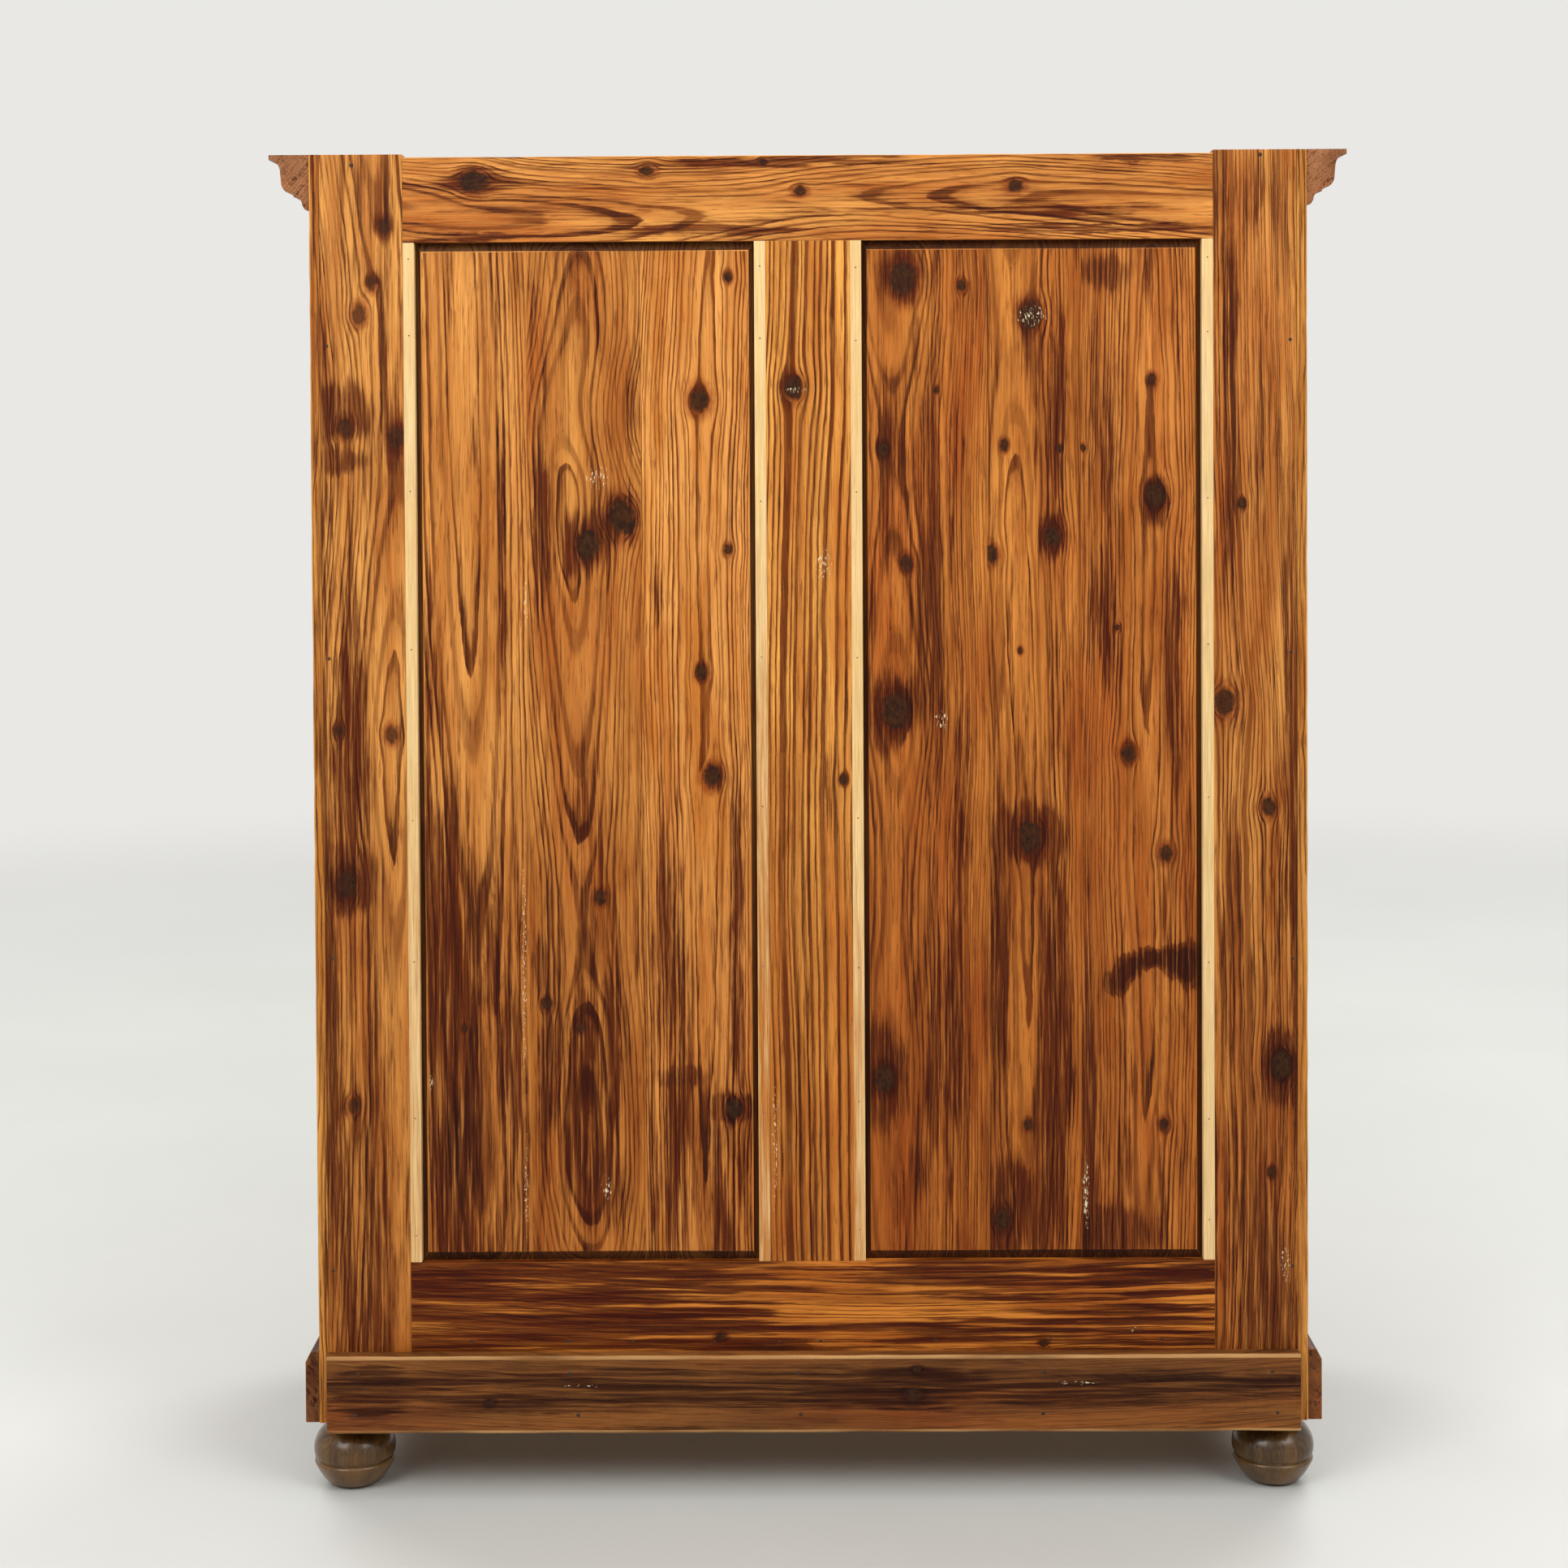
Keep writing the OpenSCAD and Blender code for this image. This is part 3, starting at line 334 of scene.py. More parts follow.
    # Sunk margins are painted dark, as painted shade in the recess, and rubbed corners keep the
    # least stain
    # The paler rub is wear, and on panel crests also a painted highlight graded by height
    wear_and_highlight = add(ranged, {"Value": fade, "From Min": 0.35, "From Max": 0.6, "To Min": 0.1,
                       "To Max": 0.85})
    wear_and_highlight = add(math_node, {0: arris, 1: wear_and_highlight}, operation="MULTIPLY")
    # The margin layer is painted shade: the sloped faces of a sunk panel margin are darkened
    layers += [(painted_shade_margin, (0.0, 1.0, 0.0, 0.85), "#2C1810", "MIX"),
               (wear_and_highlight, None, rubbed or light, "MIX")]
    wood = paint(light)
    for strength, span, colour, way in layers:
        if span:
            start, end, least, most = span
            strength = add(ranged, {"Value": strength, "From Min": start, "From Max": end,
                                    "To Min": least, "To Max": most})
        colour = paint(colour) if isinstance(colour, str) else colour
        wood = add(mixed, {"Factor": strength, 6: wood, 7: colour}, 2, data_type="RGBA",
                   blend_type=way)
    sheen = add(ranged, {"Value": fibre, "From Min": 0.3, "From Max": 0.7,
                         "To Min": gloss + 0.06, "To Max": gloss - 0.05})
    sheen = add(math_node, {0: cover, 1: 0.06, 2: sheen}, operation="MULTIPLY_ADD")
    # Late rings stand 0.16 mm proud, the fibres leave fine furrows, and knots are sunk
    relief = 0.0
    for value, height in ((fibre, 0.22), (line, 0.16), (inside, -0.2)):
        relief = add(math_node, {0: value, 1: height, 2: relief}, operation="MULTIPLY_ADD")
    bump = add("ShaderNodeBump", {"Height": relief, "Distance": 0.001, "Strength": 0.8})
    skin = add("ShaderNodeBsdfPrincipled", {
        "Base Color": wood, "Roughness": sheen, "Normal": bump, "IOR": 1.45,
        "Specular IOR Level": 0.13})
    add("ShaderNodeOutputMaterial", {"Surface": skin}, None)
    return made


def lay_fibres(data, places, numbers):
    # Where each point lies in its board, in mm, and the number of the board
    flat = [part for place in places for part in place]
    data.attributes.new("grain", "FLOAT_VECTOR", "POINT").data.foreach_set("vector", flat)
    data.attributes.new("board", "FLOAT", "POINT").data.foreach_set("value", numbers)


def new_piece(name, data, body, node=None):
    # An object for a finished mesh, which takes the place of its CAD node if it has one
    piece = bpy.data.objects.new(name, data)
    bpy.context.scene.collection.objects.link(piece)
    if node:
        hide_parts(node)
    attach(piece, body)


AXES = {"x": 0, "y": 1, "z": 2}
sharp, shortest_corner = 0.6, 0.008


def corners(mesh, shortest=0.0):
    # The edges that stand out and turn by more than 0.6 radian
    return [edge for edge in mesh.edges if len(edge.link_faces) == 2 and edge.is_convex
            and edge.calc_face_angle() > sharp and edge.calc_length() > shortest]


def soften(mesh, edges, width, segments=2, profile=0.5):
    return bmesh.ops.bevel(mesh, geom=edges, offset=width, segments=segments,
                           profile=profile, affect="EDGES", clamp_overlap=True)["faces"]


def wear_off(mesh, line, width, wear):
    # The edge on a line is rounded in short lengths and, where it is worn, dented unevenly,
    # with soft dents some 45 mm long and nicks of 14 mm
    beside, short_length, dents, nicks = 0.0012, 0.022, 22, 71

    def on_line(edge):
        return all(abs(vert.co[AXES[axis]] - value) < beside for vert in edge.verts
                   for axis, value in line)

    for edge in [edge for edge in corners(mesh, shortest_corner) if on_line(edge)]:
        parts = int(edge.calc_length() / short_length)
        if parts > 1:
            bmesh.ops.subdivide_edges(mesh, edges=[edge], cuts=parts - 1)
    done = soften(mesh, [edge for edge in corners(mesh) if on_line(edge)], width, 3, 0.55)
    if wear:
        mesh.normal_update()
        for vert in {vert for shape in done for vert in shape.verts}:
            hollow = noise.noise(vert.co * dents) + 0.5 * noise.noise(vert.co * nicks)
            vert.co -= vert.normal * wear * max(0.0, hollow)
    return done


body_of = {member: body for body, members in frame["record"]["behaviour"]["bodies"].items()
           for member in members}
board_numbers = itertools.count(1)
# A glued joint is open 0.8 mm wide and 0.6 mm deep, also on the bevel next to the show
# face, and a point counts as on a plane when it is less than a hair off it
joint_half, joint_depth, joint_reach, hair = 0.0004, 0.0006, 0.004, 0.00005


def planed(node, along, face, slot, wood, arris=0.5, worn=(), wear=0.0, placed=False,
           seams=(), sink=0.0, margin_shade=1.0, crest=0.0):
    # A copy of the sawn board with its corners eased, and with the fibre directions on it:
    # side, depth under the show face and place along the board
    mesh = bmesh.new()
    mesh.from_mesh(frame["nodes"][node].data)
    bmesh.ops.remove_doubles(mesh, verts=mesh.verts, dist=hair * 0.4)
    bmesh.ops.dissolve_limit(mesh, angle_limit=math.radians(1), verts=mesh.verts,
                             edges=mesh.edges)
    run, depth = AXES[along], AXES[face[1]]
    side = 3 - run - depth
    low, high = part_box(node)
    middle = Vector((0, 0, 0)) if placed else (low + high) / 2
    sign, show = (1, high) if face[0] == "+" else (-1, low)
    for seam in seams:
        for step in (-joint_half, 0.0, joint_half):
            spot, normal = Vector((0, 0, 0)), Vector((0, 0, 0))
            spot[side], normal[side] = seam + step, 1.0
            bmesh.ops.bisect_plane(mesh, geom=mesh.verts[:] + mesh.edges[:] + mesh.faces[:],
                                   plane_co=spot, plane_no=normal)
        for vert in mesh.verts:
            under_face = abs(vert.co[depth] - show[depth])
            if abs(vert.co[side] - seam) < hair and under_face < joint_reach:
                vert.co[depth] -= sign * joint_depth
    if sink:
        # The face is planed down a little, so that the nails in it don't stand out
        for vert in mesh.verts:
            if abs(vert.co[depth] - show[depth]) < hair:
                vert.co[depth] -= sink
        show[depth] -= sink
    painted_shade_margin, rounded, inner = [mesh.faces.layers.float.new(label)
                              for label in ("painted_shade_margin", "arris", "inner")]
    for shape in mesh.faces:
        normal = shape.normal
        leans = abs(normal[depth]) < 0.995
        # Sloped faces of a panel's sunk margin are marked for painted shade, strongest on the back
        # panels
        if "panel" in node and leans and (abs(normal[run]) < 0.7 or abs(normal[side]) < 0.2):
            shape[painted_shade_margin] = margin_shade
        if normal[depth] * sign < -0.9 and slot != "pine_fillet":
            shape[inner] = 1.0
    for line, width in worn:
        for shape in wear_off(mesh, line, width, wear):
            shape[rounded] = 1.0
    if crest:
        # The edge between a panel's field and its bevel is rounded and made paler: rubbed, and a
        # painted highlight that is strongest high up and faint at the foot
        chosen = [edge for edge in mesh.edges if len(edge.link_faces) == 2 and edge.is_convex
                  and edge.link_faces[0][painted_shade_margin] != edge.link_faces[1][painted_shade_margin]
                  and all(abs(vert.co[depth] - show[depth]) < 0.0009 for vert in edge.verts)]
        for shape in soften(mesh, chosen, crest):
            height = (shape.calc_center_median()[run] - low[run]) / (high[run] - low[run])
            # Painted highlight: the pale rub is strongest at the top of the panel
            shape[rounded] = 0.15 + 0.8 * height
            shape[painted_shade_margin] = 0.0
    if arris:
        chosen = [edge for edge in corners(mesh, shortest_corner)
                  if not any(shape[rounded] for shape in edge.link_faces)]
        for shape in soften(mesh, chosen, arris / 1000):
            shape[rounded] = 0.3
    data = bpy.data.meshes.new(node + "_wood")
    mesh.to_mesh(data)
    mesh.free()
    for one in wood if seams else [wood]:
        data.materials.append(one)
    for shape in data.polygons:
        shape.material_index = sum(1 for seam in seams if shape.center[side] < seam)
    lay_fibres(data, [((vert.co[side] - middle[side]) * 1000,
                       abs(show[depth] - vert.co[depth]) * 1000,
                       (vert.co[run] - middle[run]) * 1000) for vert in data.vertices],
               [next(board_numbers) * 1.37] * len(data.vertices))
    new_piece(node + "_wood", data, body_of[node], node)


stile_left_pine = pine(
    "oiled pine of the left back stile", light="#DF9A4D", deep="#A85E23", stain=0.36, foot=0.42,
    ring=14.0, red=0.4, lines=1.4,
    heart=[(95, -430), (560, -455), (900, -440), (1747, -420)],
    rise=[(95, 40), (560, 60), (1000, 45), (1747, 55)],
    knots=[(-537, 1033, 15), (-594, 895, 10), (-610, 560, 15), (-598, 420, 6), (-560, 1290, 6)],
    patches=[(-545, 1573, 12, 90, 1.0), (-610, 560, 30, 50, 1.4), (-590, 250, 40, 160, 0.5),
             (-560, 1300, 30, 140, 0.4), (-575, 1690, 50, 60, 0.4), (-625, 900, 14, 500, 0.5)],
    flecks=[(-616, 300, 8, 40, 1.0)])
stile_right_pine = pine(
    "oiled pine of the right back stile", light="#E29D4F", deep="#B3682A", stain=0.33, foot=0.37,
    ring=11.0, dark=0.75,
    heart=[(95, 560), (700, 540), (1000, 548), (1400, 530), (1747, 560)],
    rise=[(95, 30), (600, 34), (1000, 24), (1190, 34), (1400, 46), (1747, 40)],
    knots=[(581, 1540, 11), (564, 1580, 8), (600, 1394, 11), (534, 1382, 12),
           (543, 995, 9), (604, 800, 15), (597, 511, 9), (548, 1655, 9), (612, 1000, 7)],
    patches=[(596, 1414, 44, 40, 1.3), (606, 1352, 36, 18, 1.0), (606, 806, 44, 44, 1.7),
             (600, 950, 34, 160, 0.6), (600, 1120, 16, 130, 0.8), (590, 300, 50, 260, 0.5),
             (540, 1382, 16, 40, 0.8), (625, 560, 14, 300, 0.8), (628, 1000, 10, 600, 0.5)])
top_rail_pine = pine(
    "oiled pine of the back top rail", stain=0.32, ring=8.0, light="#E29B4D", deep="#B16428",
    heart=[(-540, 1665), (-100, 1690), (200, 1660), (540, 1680)],
    rise=[(-540, 26), (-250, 34), (0, 44), (300, 34), (540, 24)],
    knots=[(1712, 430, 15), (1724, 206, 8), (1697, 10, 7), (1702, -268, 9), (1735, 60, 4)],
    patches=[(1648, 120, 6, 120, 1.2), (1646, -380, 7, 120, 1.4), (1735, 0, 7, 190, 1.1),
             (1738, -440, 8, 70, 1.6), (1712, 425, 20, 50, 1.2), (1640, 420, 6, 100, 1.0),
             (1670, -300, 6, 160, 0.8)])
bottom_rail_pine = pine(
    "oiled pine of the back bottom rail", light="#D98734", deep="#9E5114", stain=0.66, ring=22.0,
    red=0.6, soft=0.08, shade="#663E28", thin_part=0.6, streak=0.15, bare=0.7, dashes=0.5,
    heart=[(-540, 450), (0, 440), (540, 470)], rise=[(-540, 40), (0, 20), (540, 40)],
    knots=[(206, 120, 6), (196, -300, 5)],
    patches=[(240, 330, 60, 300, 0.5), (225, -300, 60, 250, -0.08), (250, -30, 60, 110, -0.55),
             (167, 180, 3, 300, -1.4), (165, -60, 4, 90, -1.6), (159, 300, 3, 200, 1.4),
             (190, 60, 16, 50, 1.2), (300, 200, 3, 260, 0.9)],
    flecks=[(161, 250, 4, 60, 0.9), (214, -420, 5, 12, 0.9)])
muntin_pine = pine(
    "oiled pine of the back muntin", stain=0.12, foot=0.24, ring=30.0, light="#F0A850",
    deep="#C6742C", lines=1.9, late="#622806", red=0.25, soft=0.14,
    heart=[(300, -190), (900, -180), (1640, -200)], rise=[(300, 50), (1000, 60), (1640, 40)],
    knots=[(19, 1442, 13), (-44, 935, 6)],
    patches=[(-30, 920, 14, 90, 1.0), (20, 520, 20, 160, 0.5), (20, 1445, 24, 22, 1.0),
             (-10, 1330, 12, 160, 0.4)],
    flecks=[(-19, 1214, 14, 30, 1.05), (16, 1440, 18, 5, 1.1), (48, 460, 6, 120, 0.95)])

y_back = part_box("back_muntin")[1].y
planed("back_stile_left", "z", "+y", "pine_frame", stile_left_pine, placed=True)
planed("back_stile_right", "z", "+y", "pine_frame", stile_right_pine, placed=True)
planed("back_top_rail", "x", "+y", "pine_frame", top_rail_pine, placed=True,
       worn=[((("z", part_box("back_top_rail")[1].z), ("y", y_back)), 0.0012)], wear=0.0008)
planed("back_bottom_rail", "x", "+y", "pine_frame", bottom_rail_pine, placed=True)
planed("back_muntin", "z", "+y", "pine_frame", muntin_pine, placed=True)

# Back panels: each is glued up from three pine boards and bevelled on the show side, and
# runs loose in grooves. The boards differ in cut and in colour, and the joints have opened.

right_panel_boards = [
    pine("panel pine with a long arch", stain=0.22, foot=0.335, ring=13.0, red=0.1,
         light="#DF984C", deep="#B86E2C",
         heart=[(300, 430), (700, 434), (1100, 441), (1640, 455)],
         rise=[(300, 52), (500, 46), (700, 50), (900, 42), (1000, 36), (1100, 30), (1300, 24),
               (1640, 20)],
         knots=[(452, 610, 4)],
         patches=[(480, 640, 20, 260, 1.2), (468, 400, 26, 140, 1.3), (452, 560, 14, 180, 0.9),
                  (497, 900, 8, 260, 0.8), (420, 700, 8, 140, 0.8), (384, 560, 12, 110, 0.8),
                  (400, 1250, 5, 200, 0.4), (440, 600, 80, 380, 0.3)],
         flecks=[(374, 700, 4, 200, 1.02), (367, 1165, 8, 40, 1.05), (373, 400, 4, 90, 1.02),
                 (496, 540, 6, 14, 1.1)]),
    pine("panel pine with twin knots", stain=0.3, foot=0.31, ring=11.0, red=0.4,
         light="#D68F44", deep="#A96024",
         heart=[(300, 292), (700, 296), (1083, 301), (1300, 306), (1405, 317), (1531, 298),
                (1640, 296)],
         rise=[(300, 58), (361, 49), (450, 40), (600, 47), (723, 56), (930, 44), (1083, 35),
               (1163, 28), (1270, 21), (1405, 35), (1531, 42), (1640, 52)],
         knots=[(286, 1240, 16), (243, 1276, 19), (274, 781, 8), (345, 640, 7), (300, 610, 6)],
         patches=[(290, 1240, 36, 46, 0.9), (246, 1276, 28, 40, 0.8), (352, 690, 12, 50, 1.0),
                  (300, 560, 13, 130, 1.4), (345, 560, 12, 100, 0.9), (262, 590, 12, 110, 1.0),
                  (350, 1260, 10, 130, 0.8), (280, 400, 30, 70, 0.7), (322, 1255, 36, 95, 0.45),
                  (300, 560, 70, 300, 0.25)],
         flecks=[(274, 1325, 20, 20, 0.98), (268, 400, 10, 20, 1.02)]),
    pine("panel pine with straight lines", stain=0.1, foot=0.34, ring=8.6, red=0.3,
         light="#EAA254", deep="#C67830", late="#733409", lines=1.1,
         heart=[(300, 132), (740, 136), (1200, 140), (1640, 128)],
         rise=[(300, 24), (500, 20), (740, 15), (1000, 11), (1400, 8), (1640, 13)],
         knots=[(142, 1427, 13), (103, 1586, 6), (140, 1074, 8), (128, 938, 13), (104, 1233, 6),
                (101, 504, 10)],
         patches=[(190, 700, 26, 190, 0.9), (150, 440, 70, 130, 0.6), (104, 504, 30, 18, 1.4),
                  (172, 545, 30, 14, 1.3), (118, 330, 20, 80, 0.7), (196, 1180, 8, 50, 0.8),
                  (96, 800, 12, 300, 0.7), (128, 938, 20, 24, 0.8)])]
left_panel_boards = [
    pine("panel pine with dark knots", stain=0.34, foot=0.32, ring=9.0, red=0.6,
         light="#CE8138", deep="#9C531C",
         heart=[(300, -100), (745, -108), (1100, -112), (1640, -112)],
         rise=[(300, 30), (541, 24), (800, 34), (1023, 22), (1180, 32), (1363, 40), (1584, 24),
               (1640, 30)],
         knots=[(-123, 1584, 19), (-200, 1574, 7), (-97, 1363, 7), (-127, 1215, 9),
                (-110, 1023, 19), (-95, 541, 14), (-166, 1440, 4)],
         patches=[(-120, 1590, 32, 46, 1.3), (-110, 1020, 40, 60, 1.3), (-92, 545, 34, 80, 1.5),
                  (-165, 1200, 22, 280, 0.7), (-190, 900, 26, 180, 0.6),
                  (-180, 560, 30, 190, 0.7)],
         flecks=[(-172, 1010, 14, 16, 1.0)]),
    pine("panel pine with a light band", stain=0.38, foot=0.4, ring=9.5, red=0.5,
         light="#D3863B", deep="#A25920",
         heart=[(300, -276), (800, -280), (1363, -268), (1640, -266)],
         rise=[(300, 36), (541, 24), (858, 20), (1226, 18), (1380, 25), (1500, 32), (1640, 24)],
         knots=[(-289, 1535, 15), (-254, 1367, 6), (-316, 1249, 11), (-237, 1226, 10),
                (-285, 858, 17), (-248, 356, 12), (-274, 1100, 4), (-326, 1363, 4),
                (-282, 480, 6)],
         patches=[(-285, 860, 50, 40, 1.5), (-250, 370, 44, 60, 1.2), (-325, 1440, 12, 160, 0.9),
                  (-315, 1250, 20, 30, 0.9), (-315, 600, 28, 300, 0.8),
                  (-245, 700, 12, 220, 0.7), (-277, 680, 9, 150, -1.1)],
         flecks=[(-291, 1535, 26, 18, 1.0)]),
    pine("panel pine with fine lines", stain=0.265, foot=0.355, ring=8.2, red=0.5,
         light="#D88B41", deep="#A95D21", lines=1.25,
         heart=[(300, -432), (900, -440), (1640, -446)],
         rise=[(300, 24), (900, 14), (1300, 10), (1640, 18)],
         knots=[(-449, 1301, 13), (-414, 966, 10), (-463, 836, 9), (-356, 1363, 4),
                (-445, 1450, 6), (-400, 1130, 4), (-460, 480, 7)],
         patches=[(-398, 668, 16, 18, 2.6), (-415, 686, 18, 16, 2.8),
                  (-434, 699, 19, 15, 2.8), (-456, 697, 20, 14, 3.0), (-480, 692, 21, 22, 3.2),
                  (-498, 688, 18, 30, 3.0), (-380, 1280, 22, 260, 0.8),
                  (-360, 480, 20, 220, 0.8), (-452, 1290, 20, 34, 1.1), (-470, 1100, 16, 180, 0.7),
                  (-380, 340, 70, 34, 1.2), (-380, 1590, 44, 26, 1.0)],
         flecks=[(-357, 390, 5, 60, 1.12)])]
planed("back_panel_right", "z", "+y", "pine_panel", right_panel_boards, placed=True,
       arris=0.3, crest=0.001, seams=(0.366, 0.218))
planed("back_panel_left", "z", "+y", "pine_panel", left_panel_boards, placed=True,
       arris=0.3, crest=0.0006, seams=(-0.231, -0.352))

# Fillet strips: four lengths of new planed pine, nailed beside the panels in a repair and
# only oiled, so they are pale and show fine straight lines.

strip_pine = pine("new oiled pine strips", light="#F2D29A", deep="#E8C384", late="#DDAA6A",
                  ring=5.0, knots=(), stain=-0.4, red=0.0, lines=0.6, gloss=0.4, dashes=0.12,
                  shade="#C98F52", soft=0.5, years_part=0.0,
                  patches=[(516, 500, 16, 620, 1.7), (62, 560, 16, 760, 2.6),
                           (-62, 420, 16, 620, 1.7), (-516, 300, 16, 200, 1.0)])
planed("back_fillet_strips", "z", "+y", "pine_fillet", strip_pine, arris=0.6, placed=True)

# Rear plinth board: one dark stained pine board, nailed over the foot of the back. Its top
# edge has been rubbed bare, and its lower edge is worn round.

plinth_pine = pine("dark stained plinth pine", light="#84512A", deep="#5F381F", late="#40241A",
                   ring=9.0, stain=0.42, red=0.2, lines=0.5, gloss=0.42, rubbed="#B98950",
                   streak=0.18, dashes=0.3)
rear_plinth_pine = pine(
    "dark stained pine of the rear plinth board", light="#8A5628", deep="#5E371A", late="#3A2010",
    ring=18.0, stain=0.38, red=0.35, lines=0.6, gloss=0.42, soft=0.24, shade="#6C5242",
    rubbed="#C89A63", bare=0.5, streak=0.2, thin_part=0.5, dashes=0.35,
    heart=[(-631, -80), (0, -110), (631, -70)], rise=[(-631, 40), (0, 30), (631, 40)],
    knots=[(137, -130, 10), (170, -135, 5), (128, 420, 5)],
    patches=[(146, 0, 28, 900, 0.8), (140, 575, 40, 50, 1.2), (140, -130, 30, 70, 0.9),
             (106, 100, 9, 560, -1.1), (184, 0, 5, 640, -1.6), (140, -500, 26, 160, 0.5)],
    flecks=[(150, 300, 3, 30, 1.0), (152, -340, 3, 30, 1.05)])
low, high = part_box("back_plinth_board")
plinth_sink = 0.0004
planed("back_plinth_board", "x", "+y", "pine_plinth", rear_plinth_pine, arris=0.8, placed=True,
       sink=plinth_sink,
       worn=[((("z", high.z), ("y", high.y)), 0.004), ((("z", low.z), ("y", high.y)), 0.005)],
       wear=0.0014)

# Corner posts and sides: solid posts with canted front corners, rails 26 mm thick and a
# bevelled panel between them on each side, all of the same oiled pine as the back.

frame_pine = pine("oiled pine of the frames", light="#DF9D4B", deep="#B16A27", stain=0.34,
                  ring=10.0)
panel_pine = pine("oiled pine of the panels", light="#D89544", deep="#AA6524", stain=0.34,
                  ring=11.0, red=0.35)
for side, out in (("left", "-x"), ("right", "+x")):
    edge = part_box(side + "_rear_post")[0 if side == "left" else 1].x
    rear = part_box(side + "_rear_post")[1].y
    planed(side + "_front_post", "z", "-y", "pine_frame", frame_pine, arris=1.0)
    planed(side + "_rear_post", "z", out, "pine_frame", frame_pine, arris=0.6,
           worn=[((("x", edge), ("y", rear)), 0.0022)], wear=0.0012)
    planed(side + "_side_top_rail", "y", out, "pine_frame", frame_pine)
    planed(side + "_side_bottom_rail", "y", out, "pine_frame", frame_pine)
    planed(side + "_side_panel", "z", out, "pine_panel", panel_pine, arris=0.3)

# Boards inside: floor, top and three loose shelves on their battens, planed pine that was
# never stained and has only yellowed, with a dry surface.

inside_pine = pine("bare yellowed pine", light="#E0B57C", deep="#C9935A", late="#A0683A",
                   ring=8.0, stain=0.0, red=0.1, lines=0.8, gloss=0.6)
planed("floor_board", "x", "+z", "pine_inside", inside_pine, arris=0.6)
planed("top_board", "x", "+z", "pine_inside", inside_pine, arris=0.6)
planed("shelves", "x", "+z", "pine_inside", inside_pine, arris=1.2)
planed("shelf_battens", "y", "+z", "pine_inside", inside_pine, arris=1.0)

# Front rails: the frieze rail above the doors and the bottom rail behind the plinth, both
# of the same oiled pine, 45 mm thick and tenoned into the front posts.

planed("frieze_rail", "x", "-y", "pine_frame", frame_pine, arris=0.8)
planed("front_bottom_rail", "x", "-y", "pine_frame", frame_pine, arris=0.8)

# Cornice: a moulding planed from solid pine, mitred at the front corners and stained brown
# all over. Its edges are rubbed paler.

moulding_pine = pine("brown stained moulding pine", light="#A9714A", deep="#8A5836",
                     late="#5E3820", ring=7.0, stain=0.35, red=0.15, lines=0.7)
for node, along, face in (("cornice_front", "x", "-y"), ("cornice_left", "y", "-x"),
                          ("cornice_right", "y", "+x")):
    planed(node, along, face, "pine_moulding", moulding_pine, arris=0.7)

# Plinth mouldings: bevelled pine boards round the front and the sides, nailed on and
# stained dark, with well rounded edges.

for node, along, face in (("plinth_front", "x", "-y"), ("plinth_left", "y", "-x"),
                          ("plinth_right", "y", "+x")):
    planed(node, along, face, "pine_plinth", plinth_pine, arris=1.2)

# Feet: four bun feet turned from pine, each a ball over a grooved ring and a short cone,
# with a spigot glued up into its post. They carry a brown varnish with a gloss.

turned_pine = pine("varnished turned pine", light="#745429", deep="#50391B", late="#33210F",
                   ring=4.0, knots=(), stain=0.46, red=0.05, lines=0.16, gloss=0.32,
                   soft=0.5, dashes=0.2, shade="#7C6455", patches=[(0, 8, 400, 30, -1.7)])
varnish = turned_pine.node_tree.nodes["Principled BSDF"].inputs
varnish["Coat Weight"].default_value = 0.6
varnish["Coat Roughness"].default_value = 0.22


def stacked(rows):
    # Rings of points laid one on the other, closed below and above
    count = len(rows[0])
    verts = [point for row in rows for point in row]
    faces = [(i * count + k, i * count + (k + 1) % count, (i + 1) * count + (k + 1) % count,
              (i + 1) * count + k) for i in range(len(rows) - 1) for k in range(count)]
    last = (len(rows) - 1) * count
    faces += [tuple(reversed(range(count))), tuple(range(last, last + count))]
    return verts, faces


def together(parts):
    # Several shapes as one
    verts, faces = [], []
    for points, shapes in parts:
        faces += [tuple(len(verts) + k for k in shape) for shape in shapes]
        verts += points
    return verts, faces


def circle(radius, height, sides=72, centre=(0.0, 0.0)):
    return [(centre[0] + radius * math.cos(2 * math.pi * k / sides),
             centre[1] + radius * math.sin(2 * math.pi * k / sides), height)
            for k in range(sides)]


def arc(cx, cy, rx, ry, start, end, steps):
    return [(cx + rx * math.cos(math.radians(start + (end - start) * i / steps)),
             cy + ry * math.sin(math.radians(start + (end - start) * i / steps)))
            for i in range(steps + 1)]


